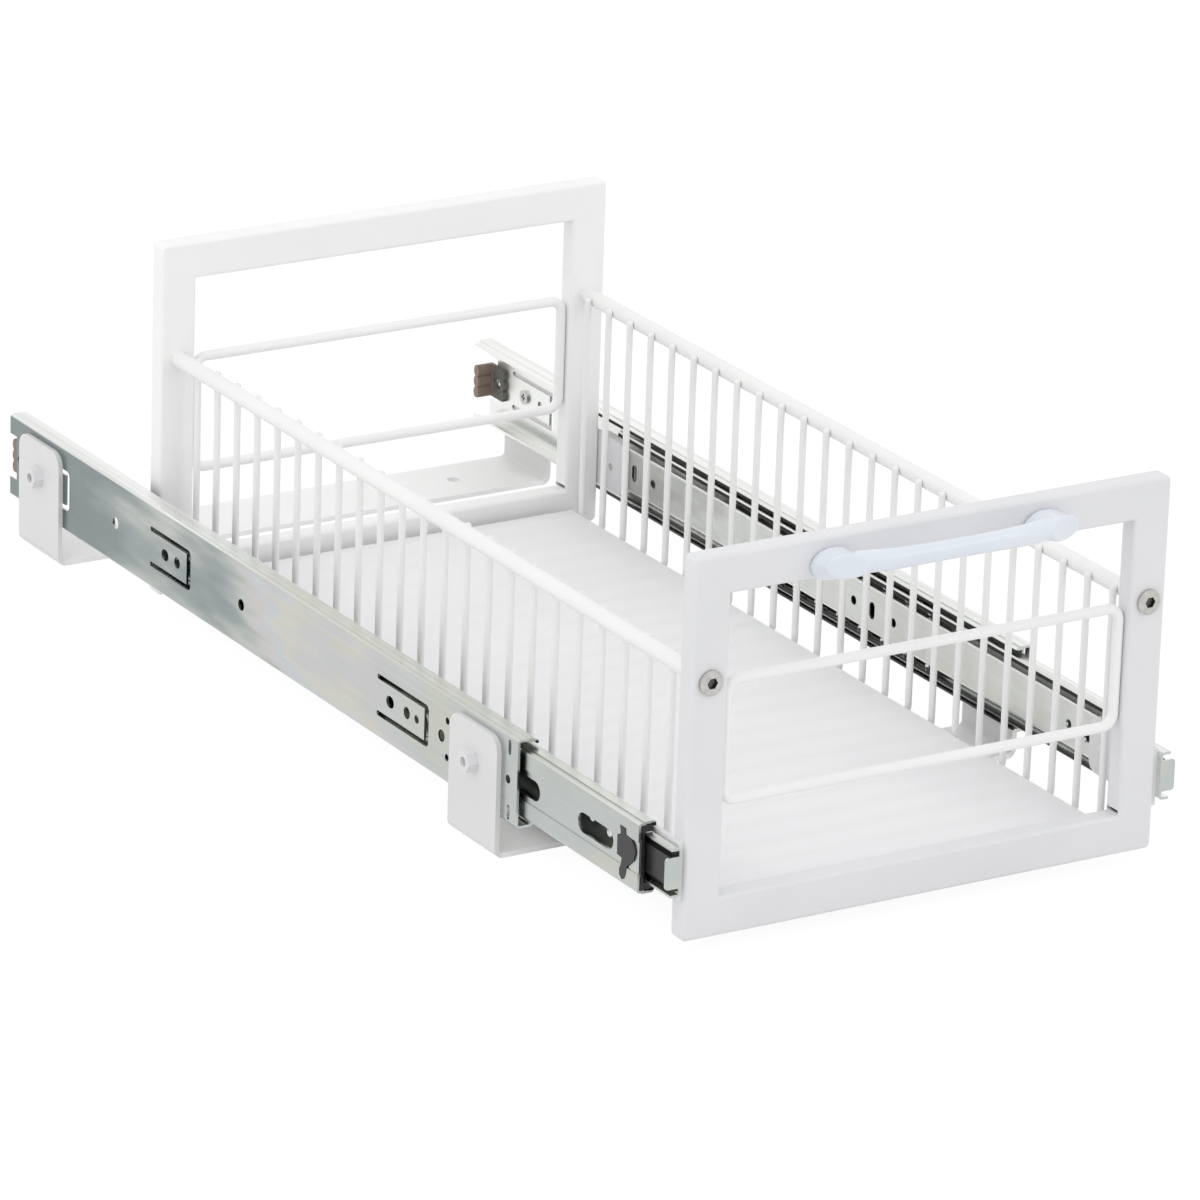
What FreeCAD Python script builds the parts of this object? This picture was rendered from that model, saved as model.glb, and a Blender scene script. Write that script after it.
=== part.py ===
import FreeCAD, Part
import math
import os
import Sketcher

# Pull-out wire basket on a pair of three-member ball slides.
# All lengths are in mm. +Z is up and the basket pulls out towards -Y.
# The origin lies on the cabinet floor, midway along and midway between the two slides.

Vector = FreeCAD.Vector
Rotation = FreeCAD.Rotation
Placement = FreeCAD.Placement

doc = FreeCAD.newDocument("pull_out_basket")
table = doc.addObject("Spreadsheet::Sheet", "Sizes")
nodes = []
rows = []


class Size:
    """A number together with the table formula that it comes from."""

    def __init__(self, value, formula):
        self.value = value
        self.formula = formula

    def __add__(self, other):
        other = plain(other)
        return Size(self.value + other.value, f"({self.formula} + {other.formula})")

    def __sub__(self, other):
        other = plain(other)
        return Size(self.value - other.value, f"({self.formula} - {other.formula})")

    def __rsub__(self, other):
        return plain(other) - self

    def __mul__(self, other):
        other = plain(other)
        return Size(self.value * other.value, f"({self.formula} * {other.formula})")

    def __truediv__(self, other):
        other = plain(other)
        return Size(self.value / other.value, f"({self.formula} / {other.formula})")

    def __neg__(self):
        return self * -1

    __radd__ = __add__
    __rmul__ = __mul__


def plain(number):
    """Any number as a Size."""
    if isinstance(number, Size):
        return number
    return Size(float(number), f"({float(number)})")


def size(name, value):
    """Enters one driving size in the table and hands it back by name."""
    rows.append(name)
    row = len(rows)
    table.set(f"A{row}", name.replace("_", " "))
    table.set(f"B{row}", str(value))
    table.setAlias(f"B{row}", name)
    return Size(float(value), f"Sizes.{name}")


def sizes(name, *values):
    """Enters a row of sizes that share a name and hands them back in order."""
    return [size(f"{name}_{i + 1}", value) for i, value in enumerate(values)]


def bind(thing, path, amount):
    """Ties a property to the table formula of an amount."""
    amount = plain(amount)
    if "Sizes." in amount.formula:
        thing.setExpression(path, amount.formula)


def place(thing, x=0, y=0, z=0, turn=None):
    """Puts a body or solid at a bound position, turned where turn is given."""
    x, y, z = plain(x), plain(y), plain(z)
    thing.Placement = Placement(Vector(x.value, y.value, z.value), turn or Rotation())
    bind(thing, "Placement.Base.x", x)
    bind(thing, "Placement.Base.y", y)
    bind(thing, "Placement.Base.z", z)


# End frames of flat rectangular tube
frame_width = size("frame_width", 263)
frame_height = size("frame_height", 189)
tube_face = size("tube_face", 20)
tube_depth = size("tube_depth", 11)
tube_wall = size("tube_wall", 1.5)
frame_corner = size("frame_corner_radius", 3)
tube_edge = size("tube_edge_radius", 2)
basket_length = size("basket_length", 527)
frame_lift = size("frame_lift", 6.5)
vent_height = size("vent_height", 2)
vent_length = size("vent_length", 9)
vent_rise = size("vent_above_bar", 0.5)

# Rails, guard rings and basket wires
rail_size = size("rail_diameter", 8.3)
rail_height = size("rail_height", 127.5)
ring_wire = size("ring_wire_diameter", 5.2)
ring_low = size("ring_low", 65)
ring_high = size("ring_high", 124.7)
ring_bend = size("ring_bend_radius", 6.5)
wire_size = size("wire_diameter", 3.5)
wire_count = 24
front_wire_inset = size("front_wire_inset", 20.4)
rear_wire_inset = size("rear_wire_inset", 21.6)
wire_low = size("wire_low", 6.5)
wire_above_rail = size("wire_above_rail", 2.2)
wire_bend = size("wire_bend_radius", 4)
wire_dome = size("wire_dome_radius", 1.6)
weld_sink = size("weld_sink", 0.05)

# Liner
liner_sheet = size("liner_thickness", 2.5)
liner_side_gap = size("liner_side_gap", 1.3)
liner_front_gap = size("liner_front_gap", 2)
liner_rear_gap = size("liner_rear_gap", 5)
liner_edge = size("liner_edge_radius", 1)

# Slides: an outer, a middle and an inner rolled channel
slide_length = size("slide_length", 527)
slide_height = size("slide_height", 45)
slide_depth = size("slide_depth", 12.7)
slide_centre = size("slide_centre_height", 43)
rolled = size("rolled_sheet", 1.2)
outer_flange = size("outer_flange", 11.3)
outer_race = size("outer_race_width", 7.8)
race_step = size("race_step", 0.7)
outer_lip = size("outer_lip", 3)
middle_shorter = size("middle_shorter", 47)
middle_height = size("middle_height", 35)
middle_inset = size("middle_inset", 3)
middle_reach = size("middle_reach", 9.4)
middle_shelf = size("middle_shelf", 2.8)
dome_rise = size("dome_rise", 0.5)
middle_lip = size("middle_lip", 2.9)
band_half = size("web_band_half_height", 8.6)
band_step = size("web_band_step", 0.6)
inner_shorter = size("inner_shorter", 7.5)
inner_height = size("inner_height", 24.2)
inner_flange = size("inner_flange", 5.5)
front_tab_width = size("front_tab_width", 8.4)
front_tab_height = size("front_tab_height", 15.9)
bend_inside = size("bend_inside_radius", 0.7)
bend_outside = size("bend_outside_radius", 1.8)

# Openings in the channels' webs
tongue_half = size("tongue_half_height", 10.8)
tongue_slot = size("tongue_slot_width", 2.6)
tongue_end_slot = size("tongue_end_slot_width", 4.2)
tongue_corner = size("tongue_corner_radius", 3)
tongue_end_places = sizes("tongue_end_place", 84.2, 63.1, 67.4)
tongue_root_places = sizes("tongue_root_place", 134.6, 106.5, 24)
web_slot_length = size("web_slot_length", 7.5)
web_slot_width = size("web_slot_width", 6)
web_window_length = size("web_window_length", 32)
web_window_width = size("web_window_width", 10)
end_notch_depth = size("end_notch_depth", 7.5)
end_notch_half = size("end_notch_half_height", 12)
inner_slot_length = size("inner_slot_length", 9.1)
inner_slot_width = size("inner_slot_width", 4.8)
corner_slot_place = size("corner_slot_place", 7.6)
corner_slot_inset = size("corner_slot_inset", 6)
corner_slot_width = size("corner_slot_width", 2.4)
small_hole = size("small_web_hole_diameter", 4.3)
large_hole = size("large_web_hole_diameter", 6.1)
pair_hole = size("paired_hole_diameter", 3.6)
pair_place = size("paired_hole_place", 66.3)
pair_height = size("paired_hole_height", 9.4)
small_hole_places = sizes("small_web_hole_place", 8.6, 95.9, 53, 10.6)
large_hole_places = sizes("large_web_hole_place", 71.8, 105.5, 9.5, 77.5, 119)
web_slot_places = sizes("web_slot_place", 121.8, 90.5)
window_places = sizes("web_window_place", 39, 106)
middle_hole_places = sizes("middle_hole_place", 40, 150, 40)
inner_slot_places = sizes("inner_slot_place", 62, 6, 35.1)
inner_hole_places = sizes("inner_hole_place", 77.7, 25.8, 11, 53.9)

# Rear bumpers
bumper_lobe = size("bumper_lobe_height", 6)
bumper_block = size("bumper_block_length", 5)
bumper_rear_gap = size("bumper_rear_gap", 0.4)
bumper_mouth_gap = size("bumper_mouth_gap", 0.8)
bumper_foot = size("bumper_foot_length", 12.5)
bumper_foot_sheet = size("bumper_foot_thickness", 2)
bumper_hole = size("bumper_hole_diameter", 6.8)
bumper_hole_place = size("bumper_hole_place", 5.2)

# Latches in the middle webs
latch_fit = size("latch_fit_gap", 0.15)
latch_proud = size("latch_proud_height", 0.2)
latch_plate = size("latch_plate_thickness", 0.9)
latch_plate_start = size("latch_plate_start", 2)
latch_plate_length = size("latch_plate_length", 19)
latch_plate_half = size("latch_plate_half_height", 8)

# Front stops inside the middle members' mouths
stop_gap = size("front_stop_gap", 0.3)
stop_thick = size("front_stop_thickness", 1.4)
stop_back = size("front_stop_back", 1.9)
stop_half = size("front_stop_half_height", 16.1)
stop_arm = size("front_stop_arm_height", 3.4)
stop_reach = size("front_stop_reach", 6.2)

# Release levers and the housings behind them
lever_pivot = size("lever_pivot", 38)
pivot_pin = size("pivot_pin_diameter", 4)
pivot_pin_head = size("pivot_pin_head_diameter", 6.4)
pivot_pin_head_high = size("pivot_pin_head_height", 0.7)
housing_sheet = size("lever_housing_sheet", 1.1)
housing_half = size("lever_housing_half_height", 10)
housing_length = size("lever_housing_length", 42.4)
housing_front_gap = size("lever_housing_front_gap", 0.6)
lever_thick = size("lever_thickness", 2.3)
lever_half = size("lever_half_height", 7.2)
lever_tail_half = size("lever_tail_half_height", 5)
lever_gap = size("lever_gap", 0.2)
lever_front_gap = size("lever_front_gap", 0.8)
lever_head = size("lever_head_length", 19.2)
lever_waist = size("lever_waist_length", 14)
lever_length = size("lever_length", 42)

# How far the slides stand out in the rest position
middle_out = size("middle_out", 105.25)
inner_out = size("inner_out", 22.5)
inner_lead = size("inner_lead", 1)

# Balls and their retainers
retainer_sheet = size("retainer_sheet", 0.8)
retainer_length = size("retainer_length", 206)
ball_clearance = size("ball_clearance", 0.3)
ball_hole_clearance = size("ball_hole_clearance", 0.1)
retainer_gap = size("retainer_gap", 0.4)
retainer_web = size("retainer_web_height", 8.6)
retainer_tooth = size("retainer_tooth_depth", 1.3)
ball_pitch = size("ball_pitch", 20.6)
ball_count = 10
outer_ball = size("outer_ball_diameter", 3.2)
outer_ball_inset = size("outer_ball_inset", 3.9)
outer_retainer_start = size("outer_retainer_start", 84)
inner_ball = size("inner_ball_diameter", 4.1)
inner_ball_inset = size("inner_ball_inset", 8.9)
inner_retainer_start = size("inner_retainer_start", 173.5)

# Mounting tabs and their screws
tab_sheet = size("tab_sheet", 2.5)
tab_height = size("tab_height", 29)
tab_drop = size("tab_drop", 1)
tab_screw_drop = size("tab_screw_drop", 2.2)
tab_corner = size("tab_corner_radius", 6)
front_tab_end = size("front_tab_end", 54.8)
front_tab_screw = size("front_tab_screw", 47.2)
rear_tab_reach = size("rear_tab_reach", 36.5)
rear_screw_inset = size("rear_tab_screw_inset", 23.4)
tab_setback = size("tab_setback", 2)
tab_screw = size("tab_screw_diameter", 4)
tab_screw_head = size("tab_screw_head_diameter", 7)
tab_screw_head_high = size("tab_screw_head_height", 1.7)
screw_clearance = size("screw_clearance", 0.05)

# Brackets under the slides
bar_sheet = size("bracket_sheet", 2.5)
bar_width = size("bracket_width", 45)
bracket_inset = size("bracket_inset", 37.5)
plate_top = size("bracket_plate_top", 61.5)
plate_corner = size("plate_corner_radius", 8)
bar_bend = size("bracket_bend_radius", 5)
floor_hole = size("floor_hole_diameter", 7)
floor_hole_spacing = size("floor_hole_spacing", 204)
bolt_size = size("bolt_diameter", 5)
bolt_head = size("bolt_head_diameter", 8)
bolt_head_high = size("bolt_head_height", 1.3)
bolt_cross = size("bracket_screw_cross_length", 4.4)
bolt_cross_width = size("bracket_screw_cross_width", 1.4)
bolt_cross_deep = size("bracket_screw_cross_depth", 0.9)
bolt_recess = size("bolt_end_recess", 1.6)
bolt_hole = size("bolt_hole_diameter", 6)
nut_across = size("nut_across_flats", 10)
nut_high = size("nut_height", 5.5)
nut_bevel = size("nut_bevel", 0.8)

# Rail screws
rail_screw = size("rail_screw_diameter", 5)
rail_screw_head = size("rail_screw_head_diameter", 12.5)
rail_screw_head_high = size("rail_screw_head_height", 2.2)
rail_screw_bevel = size("rail_screw_bevel", 0.7)
rail_screw_socket = size("rail_screw_socket", 5)
rail_screw_socket_deep = size("rail_screw_socket_depth", 1.8)
rail_screw_grip = size("rail_screw_grip", 12)

# Handle
foot_spacing = size("handle_foot_spacing", 117.2)
foot_drop = size("handle_foot_drop", 13.5)
foot_half_width = size("handle_foot_half_width", 11.7)
foot_half_height = size("handle_foot_half_height", 8.5)
column_out = size("handle_column_reach", 18)
column_rise = size("handle_column_rise", 4)
column_spread = size("handle_column_spread", 1.4)
column_half_width = size("handle_column_half_width", 11)
column_half_height = size("handle_column_half_height", 6.2)
column_lean = 19
waist_narrower = size("handle_waist_narrower", 0.8)
waist_lower = size("handle_waist_lower", 1.3)
grip_out = size("handle_grip_reach", 20)
grip_rise = size("handle_grip_rise", 5)
grip_half_height = size("handle_grip_half_height", 4.9)
grip_half_depth = size("handle_grip_half_depth", 3.8)
grip_root_back = size("handle_grip_root_back", 4.5)
grip_root_inset = size("handle_grip_root_inset", 6)
grip_flare_deep = size("handle_grip_flare_depth", 1.6)
grip_flare_high = size("handle_grip_flare_height", 0.8)
dish_radius = size("handle_dish_radius", 34)
dish_depth = size("handle_dish_depth", 1.5)
handle_screw = size("handle_screw_diameter", 4)
handle_screw_head = size("handle_screw_head_diameter", 8)
handle_screw_head_high = size("handle_screw_head_height", 2.4)
handle_screw_grip = size("handle_screw_grip", 10)
handle_screw_bevel = size("handle_screw_bevel", 0.9)
bore_spare = size("bore_spare_depth", 1)

# Places that follow from the sizes
slide_face = frame_width / 2 + tab_sheet + slide_depth
outer_front = -slide_length / 2
middle_front = outer_front - middle_out
inner_front = middle_front - inner_out
basket_front = inner_front + inner_lead
basket_middle = basket_front + basket_length / 2
rail_across = frame_width / 2 - tube_face / 2
rear_frame_start = basket_length - tube_depth
outer_ball_level = middle_height / 2 + ball_clearance + outer_ball / 2
inner_ball_level = middle_height / 2 + dome_rise - rolled - ball_clearance - inner_ball / 2
tab_level = slide_centre - frame_lift - tab_drop
tab_screw_level = slide_centre - frame_lift - tab_screw_drop
middle_length = slide_length - middle_shorter
inner_length = basket_length - inner_shorter
bracket_spacing = slide_length - bracket_inset * 2
wire_pitch = (basket_length - front_wire_inset - rear_wire_inset) / (wire_count - 1)
rear_tab_start = basket_length - rear_tab_reach
rear_tab_end = basket_length - tab_setback
rear_tab_screw = basket_length - rear_screw_inset
foot_height = frame_height - foot_drop
half_turn = Rotation(Vector(0, 1, 0), 180)


def point(spot):
    """A pair of amounts as a point of a sketch."""
    return Vector(plain(spot[0]).value, plain(spot[1]).value, 0)


def new_body(label):
    """A body that becomes one sub-part."""
    body = doc.addObject("PartDesign::Body", label)
    body.Label = label
    body.AllowCompound = True
    nodes.append(body)
    return body


def own_plane(body, role):
    """One of the body's own planes or axes."""
    return [item for item in body.Origin.OriginFeatures if item.Role == role][0]


def sketch(body, name, plane, offset=0):
    """A sketch on one of the body's own planes, moved along the plane's normal."""
    drawing = body.newObject("Sketcher::SketchObject", f"{body.Label}_{name}_sketch")
    drawing.AttachmentSupport = [(own_plane(body, plane), "")]
    drawing.MapMode = "FlatFace"
    offset = plain(offset)
    drawing.AttachmentOffset = Placement(Vector(0, 0, offset.value), Rotation())
    bind(drawing, "AttachmentOffset.Base.z", offset)
    return drawing


def distance(drawing, kind, item, end, amount):
    """One bound distance from the sketch's origin."""
    index = drawing.addConstraint(Sketcher.Constraint(kind, -1, 1, item, end, amount.value))
    bind(drawing, f"Constraints[{index}]", amount)


def hold(drawing, item, end, spot):
    """Holds a point of the sketch at its two distances from the origin."""
    for kind, axis, amount in (("DistanceX", -2, plain(spot[0])), ("DistanceY", -1, plain(spot[1]))):
        if amount.value == 0 and "Sizes." not in amount.formula:
            drawing.addConstraint(Sketcher.Constraint("PointOnObject", item, end, axis))
        else:
            distance(drawing, kind, item, end, amount)


def arc(drawing, start, end, centre):
    """Adds the short arc between two points. Tells which of its ends comes first."""
    radius = (start - centre).Length
    turn = (start - centre).cross(end - centre).z
    if turn < -1e-9:
        start, end = end, start
    first = math.atan2(start.y - centre.y, start.x - centre.x)
    last = math.atan2(end.y - centre.y, end.x - centre.x)
    circle = Part.Circle(centre, Vector(0, 0, 1), radius)
    item = drawing.addGeometry(Part.ArcOfCircle(circle, first, last), False)
    return (item, 2, 1) if turn < -1e-9 else (item, 1, 2)


def outline(drawing, spots, arcs=None):
    """Closed outline through the spots. arcs gives the centre of each edge that is an arc."""
    arcs = arcs or {}
    count = len(spots)
    edges = []
    for i in range(count):
        start = point(spots[i])
        end = point(spots[(i + 1) % count])
        if i in arcs:
            edges.append(arc(drawing, start, end, point(arcs[i])))
        else:
            item = drawing.addGeometry(Part.LineSegment(start, end), False)
            edges.append((item, 1, 2))
    for i in range(count):
        item, first, last = edges[i]
        following, next_first, next_last = edges[(i + 1) % count]
        drawing.addConstraint(Sketcher.Constraint("Coincident", item, last, following, next_first))
        hold(drawing, item, first, spots[i])
    for i, centre in arcs.items():
        start = point(spots[i])
        end = point(spots[(i + 1) % count])
        if abs(end.y - start.y) > abs(end.x - start.x):
            distance(drawing, "DistanceX", edges[i][0], 3, plain(centre[0]))
        else:
            distance(drawing, "DistanceY", edges[i][0], 3, plain(centre[1]))


def open_path(drawing, spots, arcs):
    """An open line through the spots. arcs gives the centre of each edge that is an arc."""
    edges = []
    for i in range(len(spots) - 1):
        start = point(spots[i])
        end = point(spots[i + 1])
        if i in arcs:
            edges.append(arc(drawing, start, end, point(arcs[i])))
        else:
            item = drawing.addGeometry(Part.LineSegment(start, end), False)
            edges.append((item, 1, 2))
        hold(drawing, edges[i][0], edges[i][1], spots[i])
    hold(drawing, edges[-1][0], edges[-1][2], spots[-1])
    for (item, first, last), (following, next_first, next_last) in zip(edges, edges[1:]):
        drawing.addConstraint(Sketcher.Constraint("Coincident", item, last, following, next_first))
    for i, centre in arcs.items():
        distance(drawing, "DistanceX", edges[i][0], 3, plain(centre[0]))


def circle(drawing, x, y, across):
    """A circle of the given diameter."""
    across = plain(across)
    item = drawing.addGeometry(Part.Circle(point((x, y)), Vector(0, 0, 1), across.value / 2), False)
    hold(drawing, item, 3, (x, y))
    index = drawing.addConstraint(Sketcher.Constraint("Diameter", item, across.value))
    bind(drawing, f"Constraints[{index}]", across)


def hexagon(drawing, x, y, across_flats):
    """A hexagon with two corners along the sketch's first axis."""
    corner = across_flats / math.sqrt(3)
    angles = [math.radians(60 * step) for step in range(6)]
    outline(drawing, [(x + corner * math.cos(angle), y + corner * math.sin(angle)) for angle in angles])


def rectangle(drawing, low_x, low_y, high_x, high_y):
    """An upright rectangle."""
    outline(drawing, [(low_x, low_y), (high_x, low_y), (high_x, high_y), (low_x, high_y)])


def level_slot(drawing, x, y, length, width):
    """A slot with round ends that runs along the sketch's first axis."""
    run = length / 2 - width / 2
    half = width / 2
    spots = [(x - run, y - half), (x + run, y - half), (x + run, y + half), (x - run, y + half)]
    outline(drawing, spots, {1: (x + run, y), 3: (x - run, y)})


def upright_slot(drawing, x, y, length, width):
    """A slot with round ends that runs along the sketch's second axis."""
    run = length / 2 - width / 2
    half = width / 2
    spots = [(x - half, y - run), (x + half, y - run), (x + half, y + run), (x - half, y + run)]
    outline(drawing, spots, {0: (x, y - run), 2: (x, y + run)})


def strip(path, sheet):
    """Outline of a sheet of even thickness folded along level and upright lines."""
    half = sheet / 2
    normals = []
    for start, end in zip(path, path[1:]):
        along = (point(end) - point(start)).normalize()
        normals.append((round(-along.y), round(along.x)))
    left = []
    right = []
    for i, (x, y) in enumerate(path):
        across = normals[max(i - 1, 0)]
        if 0 < i < len(normals):
            across = (across[0] + normals[i][0], across[1] + normals[i][1])
        left.append((x + half * across[0], y + half * across[1]))
        right.append((x - half * across[0], y - half * across[1]))
    return right + left[::-1]


def both_halves(upper):
    """An upper half path with its mirror image below, from the low end to the high end."""
    lower = [(x, -y) for x, y in upper]
    return lower[::-1] + upper


def pad(body, name, drawing, length, both_ways=False, backwards=False):
    """Raises a sketch to a solid."""
    feature = body.newObject("PartDesign::Pad", f"{body.Label}_{name}")
    feature.Profile = drawing
    feature.Midplane = both_ways
    feature.Reversed = backwards
    feature.Length = plain(length).value
    bind(feature, "Length", length)
    body.Tip = feature
    return feature


def pocket(body, name, drawing, depth=None, backwards=False):
    """Cuts a sketch into the body, right through both ways where no depth is given."""
    feature = body.newObject("PartDesign::Pocket", f"{body.Label}_{name}")
    feature.Profile = drawing
    feature.Reversed = backwards
    if depth is None:
        feature.Type = "ThroughAll"
        feature.Midplane = True
    else:
        feature.Length = plain(depth).value
        bind(feature, "Length", depth)
    body.Tip = feature
    return feature


def sweep(body, name, profile, path):
    """Draws a profile along a path."""
    feature = body.newObject("PartDesign::AdditivePipe", f"{body.Label}_{name}")
    feature.Profile = profile
    feature.Spine = (path, [])
    body.Tip = feature
    return feature


def mirrored(body, name, plane):
    """Adds the mirror image of everything in the body."""
    feature = body.newObject("PartDesign::Mirrored", f"{body.Label}_{name}")
    feature.TransformMode = "Whole shape"
    feature.MirrorPlane = (own_plane(body, plane), [""])
    body.Tip = feature
    return feature


def row(body, name, axis, pitch, count):
    """Repeats everything in the body in a row along one axis."""
    feature = body.newObject("PartDesign::LinearPattern", f"{body.Label}_{name}")
    feature.TransformMode = "Whole shape"
    feature.Direction = (own_plane(body, axis), [""])
    feature.Length = (pitch * (count - 1)).value
    bind(feature, "Length", pitch * (count - 1))
    feature.Occurrences = count
    body.Tip = feature
    return feature


def repeated_cut(body, name, cut, axis, pitch, count):
    """Repeats one cut in a row along one axis."""
    feature = body.newObject("PartDesign::LinearPattern", f"{body.Label}_{name}")
    feature.Originals = [cut]
    feature.Direction = (own_plane(body, axis), [""])
    feature.Length = (pitch * (count - 1)).value
    bind(feature, "Length", pitch * (count - 1))
    feature.Occurrences = count
    body.Tip = feature
    return feature


def round_edges(body, name, radius, wanted, kind="Fillet"):
    """Rounds or bevels the edges of the body that the test picks out."""
    doc.recompute()
    last = body.Tip
    names = [f"Edge{i + 1}" for i, edge in enumerate(last.Shape.Edges) if wanted(edge)]
    feature = body.newObject(f"PartDesign::{kind}", f"{body.Label}_{name}")
    feature.Base = (last, names)
    amount = "Radius" if kind == "Fillet" else "Size"
    setattr(feature, amount, plain(radius).value)
    bind(feature, amount, radius)
    body.Tip = feature
    return feature


def straight_along(axis, spots):
    """Test for straight edges along an axis (0, 1 or 2) that pass through one of the spots."""
    places = [(plain(a).value, plain(b).value) for a, b in spots]

    def test(edge):
        run = edge.lastVertex().Point - edge.firstVertex().Point
        if abs(run[axis]) < 0.999 * edge.Length:
            return False
        centre = edge.CenterOfMass
        first, second = [centre[i] for i in range(3) if i != axis]
        return any(abs(first - a) < 0.01 and abs(second - b) < 0.01 for a, b in places)

    return test


def top_and_bottom(spots):
    """Each spot with its mirror image below the centre line."""
    return spots + [(x, -z) for x, z in spots]


# Brackets: flat bar folded up at both ends to carry the slides
def bracket(label, along):
    body = new_body(label)
    side = slide_face + bar_sheet / 2
    path = [(-side, plate_top), (-side, bar_sheet / 2), (side, bar_sheet / 2), (side, plate_top)]
    fold = sketch(body, "fold", "XZ_Plane")
    outline(fold, strip(path, bar_sheet))
    pad(body, "bar", fold, bar_width, both_ways=True)
    outer_corners = [(-(slide_face + bar_sheet), 0), (slide_face + bar_sheet, 0)]
    round_edges(body, "outer_bend", bar_bend, straight_along(1, outer_corners))
    inner_corners = [(-slide_face, bar_sheet), (slide_face, bar_sheet)]
    round_edges(body, "inner_bend", bar_bend - bar_sheet, straight_along(1, inner_corners))
    plate_corners = [(-bar_width / 2, plate_top), (bar_width / 2, plate_top)]
    round_edges(body, "plate_corners", plate_corner, straight_along(0, plate_corners))
    side_hole = sketch(body, "bolt_holes", "YZ_Plane")
    circle(side_hole, 0, slide_centre, bolt_size + screw_clearance * 4)
    pocket(body, "bolt_holes", side_hole)
    floor = sketch(body, "floor_holes", "XY_Plane")
    circle(floor, -floor_hole_spacing / 2, 0, floor_hole)
    circle(floor, floor_hole_spacing / 2, 0, floor_hole)
    pocket(body, "floor_holes", floor)
    place(body, 0, along, 0)


bracket("front_bracket", -bracket_spacing / 2)
bracket("rear_bracket", bracket_spacing / 2)


# Bracket nuts: hexagons welded on the plates' outer faces
def bracket_nuts():
    body = new_body("bracket_nuts")
    plate = slide_face + bar_sheet
    flats = sketch(body, "flats", "YZ_Plane", plate)
    hexagon(flats, bracket_spacing / 2, slide_centre, nut_across)
    pad(body, "nut", flats, nut_high)
    crown = sketch(body, "crown", "XY_Plane", slide_centre)
    tip = plate + nut_high
    rim = bracket_spacing / 2 + nut_across / 2
    beyond = rim + nut_bevel * 2
    outline(crown, [(tip - nut_bevel, beyond), (tip + nut_bevel, rim - nut_bevel), (tip + nut_bevel, beyond)])
    bevel = body.newObject("PartDesign::Groove", "bracket_nuts_bevel")
    bevel.Profile = crown
    axis = sketch(body, "axis", "XY_Plane", slide_centre)
    near_end = (plate, bracket_spacing / 2)
    far_end = (tip, bracket_spacing / 2)
    line = axis.addGeometry(Part.LineSegment(point(near_end), point(far_end)))
    hold(axis, line, 1, near_end)
    hold(axis, line, 2, far_end)
    bevel.ReferenceAxis = (axis, ["Edge1"])
    bevel.Angle = 360
    body.Tip = bevel
    bore = sketch(body, "bore", "YZ_Plane", plate)
    circle(bore, bracket_spacing / 2, slide_centre, bolt_size + screw_clearance * 2)
    pocket(body, "bore", bore)
    mirrored(body, "other_side", "YZ_Plane")
    mirrored(body, "front_pair", "XZ_Plane")
    place(body)


bracket_nuts()


# Bracket screws: low round heads with a cross inside the channels, shanks out through web, plate and nut
def bracket_screws():
    body = new_body("bracket_screws")
    seat = slide_face - rolled
    head = sketch(body, "head", "YZ_Plane", seat)
    circle(head, bracket_spacing / 2, slide_centre, bolt_head)
    pad(body, "head", head, bolt_head_high, backwards=True)
    shank = sketch(body, "shank", "YZ_Plane", seat)
    circle(shank, bracket_spacing / 2, slide_centre, bolt_size)
    pad(body, "shank", shank, rolled + bar_sheet + nut_high - bolt_recess)
    for name, slot in (("level_arm", level_slot), ("upright_arm", upright_slot)):
        arm = sketch(body, name, "YZ_Plane", seat - bolt_head_high)
        slot(arm, bracket_spacing / 2, slide_centre, bolt_cross, bolt_cross_width)
        pocket(body, name, arm, bolt_cross_deep, backwards=True)
    mirrored(body, "other_side", "YZ_Plane")
    mirrored(body, "front_pair", "XZ_Plane")
    place(body)


bracket_screws()


# Outer members: the fixed channels, open towards the basket
def outer_profile():
    """Upper half of the outer channel's centre line. x runs from the web's outer face."""
    web = -rolled / 2
    top = slide_height / 2 - rolled / 2
    lip = -outer_flange + rolled / 2
    step = -outer_race
    path = [(web, top), (step, top), (step, top - race_step), (lip, top - race_step)]
    return path + [(lip, top - outer_lip + rolled / 2)]


def lanced_tongue(drawing, free_end, root):
    """A slot round three sides of a tongue in the outer web, with round ends at the root."""
    out = tongue_half
    inside = tongue_half - tongue_slot
    middle = tongue_half - tongue_slot / 2
    shoulder = free_end + tongue_end_slot
    corner = free_end + tongue_corner
    spots = [(corner, -out), (root, -out), (root, -inside), (shoulder, -inside), (shoulder, inside)]
    spots += [(root, inside), (root, out), (corner, out), (free_end, out - tongue_corner)]
    spots += [(free_end, tongue_corner - out)]
    arcs = {1: (root, -middle), 5: (root, middle)}
    arcs.update({7: (corner, out - tongue_corner), 9: (corner, tongue_corner - out)})
    outline(drawing, spots, arcs)


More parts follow.
